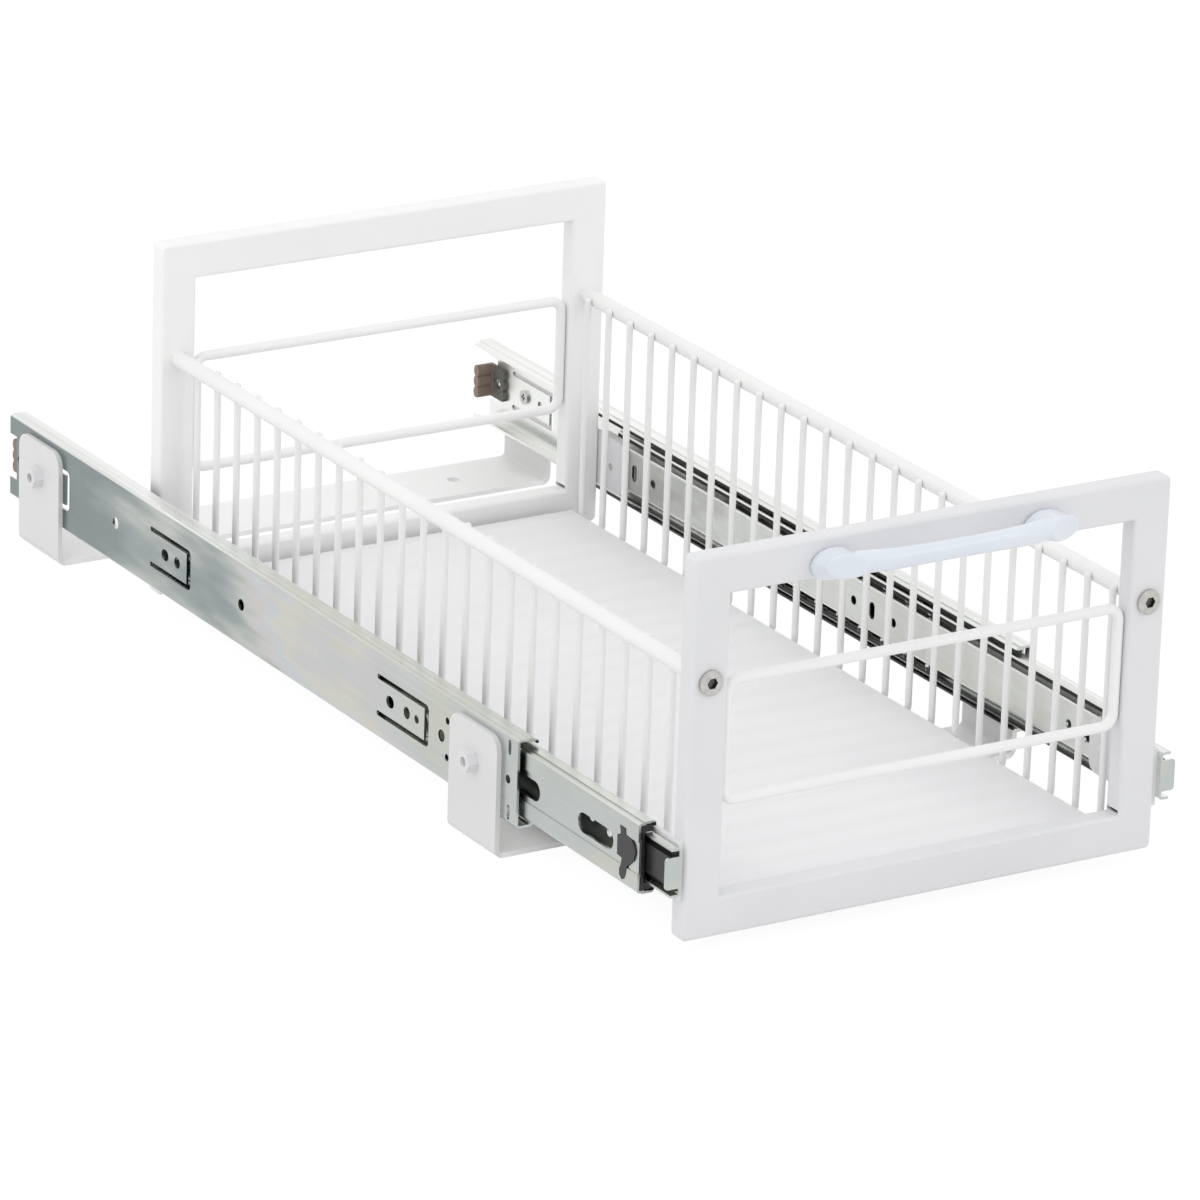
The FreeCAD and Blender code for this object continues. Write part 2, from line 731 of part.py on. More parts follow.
def outer_openings(drawing):
    """Everything that is cut into the outer web, from its front end to its rear."""
    centre = slide_length / 2
    first, second, third, fourth = small_hole_places
    for along in (first, second, slide_length - third, slide_length - fourth):
        circle(drawing, along, 0, small_hole)
    for height in (-pair_height, pair_height):
        circle(drawing, pair_place, height, pair_hole)
    first, second, third, fourth, fifth = large_hole_places
    for along in (first, second, centre + third, centre + fourth, slide_length - fifth):
        circle(drawing, along, 0, large_hole)
    for along in (centre - bracket_spacing / 2, centre + bracket_spacing / 2):
        circle(drawing, along, 0, bolt_hole)
    corner_slot_height = slide_height / 2 - corner_slot_inset
    for height in (-corner_slot_height, corner_slot_height):
        upright_slot(drawing, corner_slot_place, height, web_slot_length, corner_slot_width)
    first, second = web_slot_places
    for along in (first, centre + second):
        level_slot(drawing, along, 0, web_slot_length, web_slot_width)
    round_end = tongue_slot / 2
    ends = tongue_end_places
    roots = tongue_root_places
    lanced_tongue(drawing, ends[0], roots[0] - round_end)
    lanced_tongue(drawing, centre + ends[1], centre + roots[1] - round_end)
    lanced_tongue(drawing, slide_length - ends[2], slide_length - roots[2] - round_end)
    notch_start = slide_length - end_notch_depth
    rectangle(drawing, notch_start, -end_notch_half, slide_length + bore_spare, end_notch_half)


def outer_member(label, turn, side):
    body = new_body(label)
    profile = sketch(body, "profile", "XZ_Plane")
    outline(profile, strip(both_halves(outer_profile()), rolled))
    pad(body, "channel", profile, slide_length, backwards=True)
    half = slide_height / 2
    round_edges(body, "outer_bends", bend_outside, straight_along(1, top_and_bottom([
        (0, half), (-outer_flange, half - race_step)])))
    round_edges(body, "inner_bends", bend_inside, straight_along(1, top_and_bottom([
        (-rolled, half - rolled), (-outer_flange + rolled, half - race_step - rolled)])))
    holes = sketch(body, "holes", "YZ_Plane")
    outer_openings(holes)
    pocket(body, "holes", holes, rolled)
    place(body, slide_face * side, outer_front, slide_centre, turn)


outer_member("left_outer_member", half_turn, -1)
outer_member("right_outer_member", Rotation(), 1)


# Rear bumpers: rubber with three lobes at the rear ends of the outer channels
def lobed_ends(low, high):
    """An outline between two places along the channel whose both ends swell out in three lobes."""
    swell = math.radians(50)
    radius = bumper_lobe / 2 / math.sin(swell)
    groove = radius * (1 - math.cos(swell))
    levels = [bumper_lobe * step for step in (-1.5, -0.5, 0.5, 1.5)]
    spots = [(high - groove, z) for z in levels] + [(low + groove, z) for z in levels[::-1]]
    arcs = {}
    for i, step in enumerate((-1, 0, 1)):
        arcs[i] = (high - radius, bumper_lobe * step)
        arcs[4 + i] = (low + radius, bumper_lobe * -step)
    return spots, arcs


def rear_bumper(label, turn, side):
    body = new_body(label)
    end = slide_length - bumper_rear_gap
    start = end - bumper_block
    block = sketch(body, "block", "YZ_Plane", -rolled)
    outline(block, *lobed_ends(start, end))
    pad(body, "block", block, slide_depth - bumper_mouth_gap - rolled, backwards=True)
    foot = sketch(body, "foot", "YZ_Plane", -rolled)
    outline(foot, *lobed_ends(start - bumper_foot, end))
    pad(body, "foot", foot, bumper_foot_sheet, backwards=True)
    hole = sketch(body, "hole", "YZ_Plane")
    circle(hole, start - bumper_hole_place, 0, bumper_hole)
    pocket(body, "hole", hole)
    place(body, slide_face * side, outer_front, slide_centre, turn)


rear_bumper("left_rear_bumper", half_turn, -1)
rear_bumper("right_rear_bumper", Rotation(), 1)


# Middle members: the travelling channels between outer and inner
def middle_profile():
    """Upper half of the middle channel's centre line, from the web to the hooked race."""
    web = -middle_inset - rolled / 2
    shelf = middle_height / 2 - rolled / 2
    dome = shelf + dome_rise
    step = -middle_inset - middle_shelf - rolled / 2
    hook = -middle_inset - middle_reach + rolled / 2
    lip = dome + rolled / 2 - middle_lip
    path = [(web - band_step, band_half), (web, band_half), (web, shelf), (step, shelf), (step, dome)]
    return path + [(hook, dome), (hook, lip)]


# Outline of the black latch: from the channel's front end, and up from its centre line
latch_outline = [
    (2.2, 2.1), (3.6, -2.2), (6.6, -4.9), (9.4, -7.2), (10.2, -11.4), (11.4, -13.9), (13.6, -15),
    (15.8, -13.4), (16.2, -10.4), (14.6, -7.2), (14.2, -4.4), (18.4, -4), (18.6, 6), (16.6, 6),
    (15.6, 8), (16.6, 11.4), (11.3, 11.4), (10.8, 8.4), (5.8, 7.9), (3.3, 5.1)]


def latch_spots(gap, side):
    """The latch's outline drawn in by the gap. The left channel is turned over, its heights with it."""
    count = len(latch_outline)
    spots = []
    for i, (x, z) in enumerate(latch_outline):
        before = Vector(*latch_outline[i - 1], 0)
        here = Vector(x, z, 0)
        after = Vector(*latch_outline[(i + 1) % count], 0)
        first = (here - before).normalize()
        second = (after - here).normalize()
        inward = Vector(-first.y - second.y, first.x + second.x, 0) / (1 + first.dot(second))
        spots.append((x + gap * inward.x, (z + gap * inward.y) * side))
    return spots


def middle_member(label, turn, side):
    body = new_body(label)
    profile = sketch(body, "profile", "XZ_Plane")
    outline(profile, strip(both_halves(middle_profile()), rolled))
    pad(body, "channel", profile, middle_length, backwards=True)
    shelf = middle_height / 2
    hook = -middle_inset - middle_reach
    round_edges(body, "outer_bends", bend_outside, straight_along(1, top_and_bottom([
        (-middle_inset, shelf), (hook, shelf + dome_rise)])))
    round_edges(body, "inner_bends", bend_inside, straight_along(1, top_and_bottom([
        (-middle_inset - rolled, shelf - rolled), (hook + rolled, shelf + dome_rise - rolled)])))
    holes = sketch(body, "holes", "YZ_Plane")
    for along in window_places:
        level_slot(holes, along, 0, web_window_length, web_window_width)
    first, second, third = middle_hole_places
    for along in (middle_length / 2 - first, middle_length - second, middle_length - third):
        circle(holes, along, 0, web_slot_width)
    outline(holes, latch_spots(0, side))
    pocket(body, "holes", holes, middle_inset + rolled + band_step * 2)
    place(body, slide_face * side, middle_front, slide_centre, turn)


def latch(label, turn, side):
    body = new_body(label)
    back_face = middle_inset + rolled + band_step
    plug = sketch(body, "plug", "YZ_Plane", latch_proud - middle_inset)
    outline(plug, latch_spots(latch_fit, side))
    pad(body, "plug", plug, back_face - middle_inset + latch_proud + latch_plate / 2, backwards=True)
    back = sketch(body, "back", "YZ_Plane", -back_face)
    end = latch_plate_start + latch_plate_length
    rectangle(back, latch_plate_start, -latch_plate_half, end, latch_plate_half)
    pad(body, "back", back, latch_plate, backwards=True)
    place(body, slide_face * side, middle_front, slide_centre, turn)


middle_member("left_middle_member", half_turn, -1)
middle_member("right_middle_member", Rotation(), 1)
latch("left_middle_latch", half_turn, -1)
latch("right_middle_latch", Rotation(), 1)


# Front stops: black plastic brackets in the middle members' front mouths
def front_stop(label, turn, side):
    body = new_body(label)
    shape = sketch(body, "shape", "XZ_Plane", -stop_gap)
    web = -(middle_inset + rolled + band_step)
    back = web - stop_back
    reach = web - stop_reach
    upper = [(back, stop_half - stop_arm), (reach, stop_half - stop_arm), (reach, stop_half), (web, stop_half)]
    outline(shape, both_halves(upper))
    pad(body, "bracket", shape, stop_thick, backwards=True)
    place(body, slide_face * side, middle_front, slide_centre, turn)


front_stop("left_front_stop", half_turn, -1)
front_stop("right_front_stop", Rotation(), 1)


# Inner members: the channels that carry the basket, open towards the cabinet side
def inner_profile():
    """Upper half of the inner channel's centre line."""
    web = -slide_depth + rolled / 2
    top = inner_height / 2 - rolled / 2
    return [(web, top), (web + inner_flange - rolled / 2, top)]


def inner_member(label, turn, side):
    body = new_body(label)
    profile = sketch(body, "profile", "XZ_Plane")
    outline(profile, strip(both_halves(inner_profile()), rolled))
    pad(body, "channel", profile, inner_length, backwards=True)
    half = inner_height / 2
    round_edges(body, "outer_bends", bend_outside, straight_along(1, top_and_bottom([(-slide_depth, half)])))
    round_edges(body, "inner_bends", bend_inside, straight_along(1, top_and_bottom([
        (rolled - slide_depth, half - rolled)])))
    plate = sketch(body, "front_tab", "XZ_Plane")
    free = front_tab_width - slide_depth
    rectangle(plate, rolled / 2 - slide_depth, -front_tab_height / 2, free, front_tab_height / 2)
    pad(body, "front_tab", plate, rolled, backwards=True)
    free_corners = [(free, front_tab_height / 2)]
    round_edges(body, "tab_corners", bend_outside, straight_along(1, top_and_bottom(free_corners)))
    holes = sketch(body, "holes", "YZ_Plane", -slide_depth + rolled)
    for along in (front_tab_screw, rear_tab_screw):
        circle(holes, inner_lead + along, -tab_screw_drop * side, tab_screw + screw_clearance * 4)
    centre = inner_length / 2
    first, second, third = inner_slot_places
    for along in (first, centre - second, inner_length - third):
        upright_slot(holes, along, 0, inner_slot_length, inner_slot_width)
    first, second, third, fourth = inner_hole_places
    for along in (first, centre - second, centre + third, inner_length - fourth):
        circle(holes, along, 0, inner_slot_width)
    circle(holes, lever_pivot, 0, pivot_pin + screw_clearance * 2)
    pocket(body, "holes", holes, rolled)
    place(body, slide_face * side, inner_front, slide_centre, turn)


# Release levers: black plastic in the mouth of each inner channel
def lever_housing(label, turn, side):
    body = new_body(label)
    seat = -slide_depth + rolled
    sheet = sketch(body, "sheet", "YZ_Plane", seat)
    start = rolled + housing_front_gap
    rectangle(sheet, start, -housing_half, start + housing_length, housing_half)
    pad(body, "sheet", sheet, housing_sheet)
    bore = sketch(body, "bore", "YZ_Plane", seat)
    circle(bore, lever_pivot, 0, pivot_pin + screw_clearance * 2)
    pocket(body, "bore", bore)
    place(body, slide_face * side, inner_front, slide_centre, turn)


def release_lever(label, turn, side):
    body = new_body(label)
    seat = -slide_depth + rolled + housing_sheet + lever_gap
    shape = sketch(body, "shape", "YZ_Plane", seat)
    tip = rolled + lever_front_gap
    neck = tip + lever_head
    upper = [(tip + lever_length, lever_tail_half), (neck + lever_waist, lever_tail_half)]
    upper += [(neck, lever_half), (tip, lever_half)]
    lower = [(x, -z) for x, z in upper]
    outline(shape, lower[::-1] + upper)
    pad(body, "bar", shape, lever_thick)
    bore = sketch(body, "bore", "YZ_Plane", seat)
    circle(bore, lever_pivot, 0, pivot_pin + screw_clearance * 2)
    pocket(body, "bore", bore)
    place(body, slide_face * side, inner_front, slide_centre, turn)


def lever_pins():
    body = new_body("lever_pins")
    seat = slide_face - slide_depth
    along = lever_pivot
    shank = sketch(body, "shank", "YZ_Plane", seat)
    circle(shank, along, 0, pivot_pin)
    length = rolled + housing_sheet + lever_gap + lever_thick + lever_gap
    pad(body, "shank", shank, length)
    head = sketch(body, "head", "YZ_Plane", seat + length)
    circle(head, along, 0, pivot_pin_head)
    pad(body, "head", head, pivot_pin_head_high)
    mirrored(body, "other_side", "YZ_Plane")
    place(body, 0, inner_front, slide_centre)


inner_member("left_inner_member", half_turn, -1)
inner_member("right_inner_member", Rotation(), 1)
lever_housing("left_lever_housing", half_turn, -1)
lever_housing("right_lever_housing", Rotation(), 1)
release_lever("left_release_lever", half_turn, -1)
release_lever("right_release_lever", Rotation(), 1)
lever_pins()


# Ball retainers: thin strips that keep the balls apart
def outer_retainer(label, turn, side):
    body = new_body(label)
    level = outer_ball_level
    near = -rolled - retainer_gap * 2
    far = -outer_flange + rolled + retainer_gap
    fold = sketch(body, "fold", "XZ_Plane")
    outline(fold, strip([(near, level - retainer_web), (near, level), (far, level)], retainer_sheet))
    pad(body, "strip", fold, retainer_length, backwards=True)
    first = ball_pitch / 2
    hole = sketch(body, "hole", "XY_Plane", level)
    circle(hole, -outer_ball_inset, first, outer_ball + ball_hole_clearance * 2)
    cut = pocket(body, "hole", hole)
    repeated_cut(body, "holes", cut, "Y_Axis", ball_pitch, ball_count)
    mirrored(body, "lower_strip", "XY_Plane")
    place(body, slide_face * side, outer_front + outer_retainer_start, slide_centre, turn)


def inner_retainer(label, turn, side):
    body = new_body(label)
    level = inner_ball_level
    near = -middle_inset - rolled - band_step - ball_clearance * 2 - retainer_sheet / 2
    far = -middle_inset - middle_reach + rolled + ball_clearance
    fold = sketch(body, "fold", "XZ_Plane")
    path = [(far, -level), (near, -level), (near, level), (far, level)]
    outline(fold, strip(path, retainer_sheet))
    pad(body, "strip", fold, retainer_length, backwards=True)
    first = ball_pitch / 2
    hole = sketch(body, "hole", "XY_Plane", level)
    circle(hole, -inner_ball_inset, first, inner_ball + ball_hole_clearance * 2)
    cut = pocket(body, "hole", hole)
    repeated_cut(body, "holes", cut, "Y_Axis", ball_pitch, ball_count)
    zigzag = sketch(body, "zigzag", "XY_Plane", level)
    notch = ball_pitch / 6
    outline(zigzag, [(far - bore_spare, -notch), (far + retainer_tooth, 0), (far - bore_spare, notch)])
    teeth = pocket(body, "tooth", zigzag)
    repeated_cut(body, "teeth", teeth, "Y_Axis", ball_pitch, ball_count + 1)
    place(body, slide_face * side, middle_front + inner_retainer_start, slide_centre, turn)


def balls(label, turn, side, inset, level, across, start):
    body = new_body(label)
    half = across / 2
    drawing = sketch(body, "half_disc", "XY_Plane", level)
    first = ball_pitch / 2
    spots = [(-inset, first - half), (half - inset, first), (-inset, first + half)]
    outline(drawing, spots, {0: (-inset, first), 1: (-inset, first)})
    ball = body.newObject("PartDesign::Revolution", f"{label}_ball")
    ball.Profile = drawing
    axis = sketch(body, "axis", "XY_Plane", level)
    line = axis.addGeometry(Part.LineSegment(point((-inset, first - half)), point((-inset, first + half))))
    hold(axis, line, 1, (-inset, first - half))
    hold(axis, line, 2, (-inset, first + half))
    ball.ReferenceAxis = (axis, ["Edge1"])
    ball.Angle = 360
    body.Tip = ball
    row(body, "row", "Y_Axis", ball_pitch, ball_count)
    mirrored(body, "lower_row", "XY_Plane")
    place(body, slide_face * side, start, slide_centre, turn)


for hand, turn, side in (("left", half_turn, -1), ("right", Rotation(), 1)):
    outer_retainer(f"{hand}_outer_retainer", turn, side)
    balls(f"{hand}_outer_balls", turn, side, outer_ball_inset, outer_ball_level, outer_ball,
          outer_front + outer_retainer_start)
    inner_retainer(f"{hand}_inner_retainer", turn, side)
    balls(f"{hand}_inner_balls", turn, side, inner_ball_inset, inner_ball_level, inner_ball,
          middle_front + inner_retainer_start)


# End frames: two posts and two bars, mitred at the corners
def corner_arcs():
    """How far the middle of a corner's arc stands in from both sides."""
    return frame_corner * (1 - math.sqrt(0.5))


def outer_tube_edges(edge):
    """Test for the long edges of a mitred tube, leaving out the mitres themselves."""
    middle = edge.CenterOfMass
    level_with_face = min(abs(middle.y), abs(middle.y - tube_depth.value)) < 0.01
    run = edge.lastVertex().Point - edge.firstVertex().Point
    straight = abs(run.Length - edge.Length) < 0.001
    on_mitre = straight and abs(abs(run.x) - abs(run.z)) < 0.01
    return level_with_face and abs(run.y) < 0.01 and not on_mitre


def frame_post(label, side, start):
    body = new_body(label)
    shape = sketch(body, "shape", "XZ_Plane")
    outer = frame_width / 2
    inner = outer - tube_face
    corner = corner_arcs()
    top = frame_height
    spots = [(inner, tube_face), (outer - corner, corner), (outer, frame_corner), (outer, top - frame_corner)]
    spots += [(outer - corner, top - corner), (inner, top - tube_face)]
    arcs = {1: (outer - frame_corner, frame_corner), 3: (outer - frame_corner, top - frame_corner)}
    spots = [(x * side, z) for x, z in spots]
    arcs = {i: (x * side, z) for i, (x, z) in arcs.items()}
    outline(shape, spots, arcs)
    pad(body, "tube", shape, tube_depth, backwards=True)
    round_edges(body, "edges", tube_edge, outer_tube_edges)
    hollow = sketch(body, "hollow", "XY_Plane")
    low_x = (inner + tube_wall) * side
    high_x = (outer - tube_wall) * side
    rectangle(hollow, low_x, tube_wall, high_x, tube_depth - tube_wall)
    pocket(body, "hollow", hollow)
    hole = sketch(body, "rail_screw_hole", "XZ_Plane")
    circle(hole, rail_across * side, rail_height, rail_screw + screw_clearance * 10)
    pocket(body, "rail_screw_hole", hole)
    vent = sketch(body, "vent", "YZ_Plane", inner * side)
    low = tube_face + vent_rise
    gap = (tube_depth - vent_length) / 2
    rectangle(vent, gap, low, tube_depth - gap, low + vent_height)
    pocket(body, "vent", vent, tube_wall, backwards=side > 0)
    place(body, 0, basket_front + start, frame_lift)


def frame_bar(label, upper, start, handle_holes=False):
    body = new_body(label)
    shape = sketch(body, "shape", "XZ_Plane")
    outer = frame_width / 2
    inner = outer - tube_face
    corner = corner_arcs()
    spots = [(-(outer - frame_corner), 0), (outer - frame_corner, 0), (outer - corner, corner)]
    spots += [(inner, tube_face), (-inner, tube_face), (-(outer - corner), corner)]
    arcs = {1: (outer - frame_corner, frame_corner), 5: (-(outer - frame_corner), frame_corner)}
    if upper:
        spots = [(x, frame_height - z) for x, z in spots]
        arcs = {i: (x, frame_height - z) for i, (x, z) in arcs.items()}
    outline(shape, spots, arcs)
    pad(body, "tube", shape, tube_depth, backwards=True)
    round_edges(body, "edges", tube_edge, outer_tube_edges)
    hollow = sketch(body, "hollow", "YZ_Plane")
    base = frame_height - tube_face if upper else plain(0)
    rectangle(hollow, tube_wall, base + tube_wall, tube_depth - tube_wall, base + tube_face - tube_wall)
    pocket(body, "hollow", hollow)
    if handle_holes:
        holes = sketch(body, "handle_screw_holes", "XZ_Plane")
        for side in (-1, 1):
            circle(holes, foot_spacing / 2 * side, foot_height, handle_screw + screw_clearance * 10)
        pocket(body, "handle_screw_holes", holes)
    place(body, 0, basket_front + start, frame_lift)


for end, start in (("front", plain(0)), ("rear", rear_frame_start)):
    frame_post(f"{end}_left_post", -1, start)
    frame_post(f"{end}_right_post", 1, start)
    frame_bar(f"{end}_top_bar", True, start, handle_holes=end == "front")
    frame_bar(f"{end}_bottom_bar", False, start)


# Guard rings: one wire bent to a rounded rectangle between the posts
def guard_ring(label, start):
    body = new_body(label)
    loop = sketch(body, "loop", "XZ_Plane")
    side = frame_width / 2 - tube_face - ring_wire / 2
    low = ring_low
    high = ring_high
    bend = ring_bend
    spots = [(-side + bend, low), (side - bend, low), (side, low + bend), (side, high - bend)]
    spots += [(side - bend, high), (-side + bend, high), (-side, high - bend), (-side, low + bend)]
    arcs = {1: (side - bend, low + bend), 3: (side - bend, high - bend)}
    arcs.update({5: (-side + bend, high - bend), 7: (-side + bend, low + bend)})
    outline(loop, spots, arcs)
    section = sketch(body, "section", "YZ_Plane", -side + bend)
    circle(section, 0, low, ring_wire)
    sweep(body, "wire", section, loop)
    place(body, 0, basket_front + start + tube_depth / 2, frame_lift)


guard_ring("front_guard_ring", plain(0))
guard_ring("rear_guard_ring", rear_frame_start)


# Top rails: round bar tapped at both ends for the rail screws
def top_rail(label, side):
    body = new_body(label)
    length = basket_length - tube_depth * 2
    section = sketch(body, "section", "XZ_Plane")
    circle(section, 0, 0, rail_size)
    pad(body, "bar", section, length, both_ways=True)
    bore = sketch(body, "front_bore", "XZ_Plane", length / 2)
    circle(bore, 0, 0, rail_screw + screw_clearance * 2)
    pocket(body, "front_bore", bore, rail_screw_grip + bore_spare)
    bore = sketch(body, "rear_bore", "XZ_Plane", -length / 2)
    circle(bore, 0, 0, rail_screw + screw_clearance * 2)
    pocket(body, "rear_bore", bore, rail_screw_grip + bore_spare, backwards=True)
    place(body, rail_across * side, basket_middle, frame_lift + rail_height)


top_rail("left_top_rail", -1)
top_rail("right_top_rail", 1)


# Rail screws: flat round heads with a hex socket, through the posts into the rails
def rail_screws():
    body = new_body("rail_screws")
    face = basket_length / 2
    head = sketch(body, "head", "XZ_Plane", face)
    circle(head, rail_across, rail_height, rail_screw_head)
    pad(body, "head", head, rail_screw_head_high)
    tip = -(face + rail_screw_head_high)

    def rim(edge):
        on_front = abs(edge.CenterOfMass.y - tip.value) < 0.01
        return on_front and edge.Length > 3 * rail_screw_head.value * 0.9

    round_edges(body, "rim", rail_screw_bevel, rim, kind="Chamfer")
    shank = sketch(body, "shank", "XZ_Plane", face)
    circle(shank, rail_across, rail_height, rail_screw)
    pad(body, "shank", shank, tube_depth + rail_screw_grip, backwards=True)
    socket = sketch(body, "socket", "XZ_Plane", face + rail_screw_head_high)
    hexagon(socket, rail_across, rail_height, rail_screw_socket)
    pocket(body, "socket", socket, rail_screw_socket_deep)
    mirrored(body, "other_side", "YZ_Plane")
    mirrored(body, "rear_pair", "XZ_Plane")
    place(body, 0, basket_middle, frame_lift)


rail_screws()


# Basket wires: a row of wires bent to a wide U, their ends welded inside the rails
def basket_wires():
    body = new_body("basket_wires")
    span = wire_pitch * (wire_count - 1)
    side = rail_across - rail_size / 2 - wire_size / 2 + weld_sink
    top = rail_height + wire_above_rail
    bend = wire_bend
    path = sketch(body, "path", "XZ_Plane", span / 2)
    spots = [(-side, top), (-side, wire_low + bend), (-side + bend, wire_low), (side - bend, wire_low)]
    spots += [(side, wire_low + bend), (side, top)]
    centres = {1: (-side + bend, wire_low + bend), 3: (side - bend, wire_low + bend)}
    open_path(path, spots, centres)
    section = sketch(body, "section", "XY_Plane", top)
    circle(section, -side, -span / 2, wire_size)
    sweep(body, "wire", section, path)

    def end_rims(edge):
        return abs(edge.CenterOfMass.z - top.value) < 0.01

    round_edges(body, "domes", wire_dome, end_rims)
    row(body, "row", "Y_Axis", wire_pitch, wire_count)
    place(body, 0, basket_front + front_wire_inset + span / 2, frame_lift)


basket_wires()


# Liner: a plain plastic sheet on the wires' bottoms
def liner():
    body = new_body("liner")
    half = rail_across - rail_size / 2 - wire_size - liner_side_gap + weld_sink
    low = wire_low + wire_size / 2
    front = tube_depth + liner_front_gap
    rear = rear_frame_start - liner_rear_gap
    shape = sketch(body, "shape", "XZ_Plane", -front)
    rectangle(shape, -half, low, half, low + liner_sheet)
    pad(body, "sheet", shape, rear - front, backwards=True)
    round_edges(body, "under_edges", liner_edge, straight_along(1, [(-half, low), (half, low)]))
    place(body, 0, basket_front, frame_lift)


liner()


# Mounting tabs: short strips welded on the posts, screwed to the inner members
def mounting_tab(label, side, start, end, screw, square_end):
    body = new_body(label)
    low = tab_level - tab_height / 2
    high = tab_level + tab_height / 2
    shape = sketch(body, "shape", "YZ_Plane", frame_width / 2 * side)
    rectangle(shape, start, low, end, high)
    pad(body, "strip", shape, tab_sheet, backwards=side < 0)
    free = end if square_end == "front" else start
    round_edges(body, "free_corners", tab_corner, straight_along(0, [(free, low), (free, high)]))
    hole = sketch(body, "hole", "YZ_Plane")
    circle(hole, screw, tab_screw_level, tab_screw + screw_clearance * 2)
    pocket(body, "hole", hole)
    place(body, 0, basket_front, frame_lift)


for hand, side in (("left", -1), ("right", 1)):
    mounting_tab(f"front_{hand}_tab", side, tab_setback, front_tab_end, front_tab_screw, "front")
    mounting_tab(f"rear_{hand}_tab", side, rear_tab_start, rear_tab_end, rear_tab_screw, "rear")


# Tab screws: low heads in the inner channels, shanks through web and tab
def tab_screws():
    body = new_body("tab_screws")
    seat = frame_width / 2 + tab_sheet + rolled
    for name, along in (("front", front_tab_screw), ("rear", rear_tab_screw)):
        head = sketch(body, f"{name}_head", "YZ_Plane", seat)
        circle(head, along, tab_screw_level, tab_screw_head)
        pad(body, f"{name}_head", head, tab_screw_head_high)
        shank = sketch(body, f"{name}_shank", "YZ_Plane", seat)
        circle(shank, along, tab_screw_level, tab_screw)
        pad(body, f"{name}_shank", shank, rolled + tab_sheet, backwards=True)
    mirrored(body, "other_side", "YZ_Plane")
    place(body, 0, basket_front, frame_lift)


tab_screws()


# Handle: two oval columns with dished ends, joined by a slim grip
def oval(name, across, upright, x, y, z, turn):
    """An oval section of the handle. across and upright are its two half sizes."""
    across, upright = plain(across), plain(upright)
    ring = doc.addObject("Part::Ellipse", name)
    ring.MajorRadius = across.value
    ring.MinorRadius = upright.value
    bind(ring, "MajorRadius", across)
    bind(ring, "MinorRadius", upright)
    place(ring, x, y, z, turn)
    return ring


def loft(name, sections):
    """A smooth solid through a row of sections."""
    solid = doc.addObject("Part::Loft", name)
    solid.Sections = sections
    solid.Solid = True
    return solid


def handle_column(hand, side):
    """One column: wide at its foot, drawn in at the waist, turned outwards at the dished end."""
    foot_x = foot_spacing / 2 * side
    foot_z = frame_lift + foot_height
    upright = Rotation(Vector(1, 0, 0), 90)
    leaning = Rotation(Vector(0, 0, 1), column_lean * side).multiply(upright)
    foot = oval(f"{hand}_foot", foot_half_width, foot_half_height, foot_x, basket_front, foot_z, upright)
    waist = oval(f"{hand}_waist", foot_half_width - waist_narrower, foot_half_height - waist_lower,
                 foot_x, basket_front - column_out / 3, foot_z + column_rise / 3, upright)
    rim = oval(f"{hand}_rim", column_half_width, column_half_height, foot_x + column_spread * side,
               basket_front - column_out, foot_z + column_rise, leaning)
    return loft(f"{hand}_column", [foot, waist, rim])


def handle_grip():
    """The bowed grip: slimmest and farthest out at its middle, flared where it meets the columns."""
    root_out = column_out - grip_root_back
    level = Rotation(Vector(0, 1, 0), 90)
    sections = []
    for i, share in enumerate((-1, -0.6, 0, 0.6, 1)):
        bow = 1 - share * share
        half_height = grip_half_height + grip_flare_high * (1 - bow)
        half_depth = grip_half_depth + grip_flare_deep * (1 - bow)
        reach = root_out + (grip_out - root_out) * (bow ** 0.5)
        rise = foot_height + column_rise + (grip_rise - column_rise) * bow
        across = (foot_spacing / 2 - grip_root_inset) * share
        sections.append(oval(f"grip_section_{i}", half_height, half_depth, across,
                             basket_front - reach, frame_lift + rise, level))
    return loft("grip", sections)


def handle_cutters(hand, side):
    """The ball that dishes a column's end, and the bore for its screw."""
    lean = math.radians(column_lean * side)
    ahead = dish_radius - dish_depth
    column_x = foot_spacing / 2 * side
    dish = doc.addObject("Part::Sphere", f"{hand}_dish")
    dish.Radius = dish_radius.value
    bind(dish, "Radius", dish_radius)
    place(dish, column_x + column_spread * side + ahead * math.sin(lean),
          basket_front - column_out - ahead * math.cos(lean), frame_lift + foot_height + column_rise)
    bore = doc.addObject("Part::Cylinder", f"{hand}_screw_bore")
    radius = handle_screw / 2 + screw_clearance
    bore.Radius = radius.value
    bind(bore, "Radius", radius)
    bore.Height = handle_screw_grip.value
    bind(bore, "Height", handle_screw_grip + bore_spare)
    place(bore, column_x, basket_front, frame_lift + foot_height, Rotation(Vector(1, 0, 0), 90))
    return [dish, bore]


def handle():
    hands = (("left", -1), ("right", 1))
    whole = doc.addObject("Part::MultiFuse", "handle_whole")
    whole.Shapes = [handle_column(hand, side) for hand, side in hands] + [handle_grip()]
    tools = []
    for hand, side in hands:
        tools += handle_cutters(hand, side)
    cutter = doc.addObject("Part::Compound", "handle_cutters")
    cutter.Links = tools
    finished = doc.addObject("Part::Cut", "handle")
    finished.Label = "handle"
    finished.Base = whole
    finished.Tool = cutter
    nodes.append(finished)


handle()


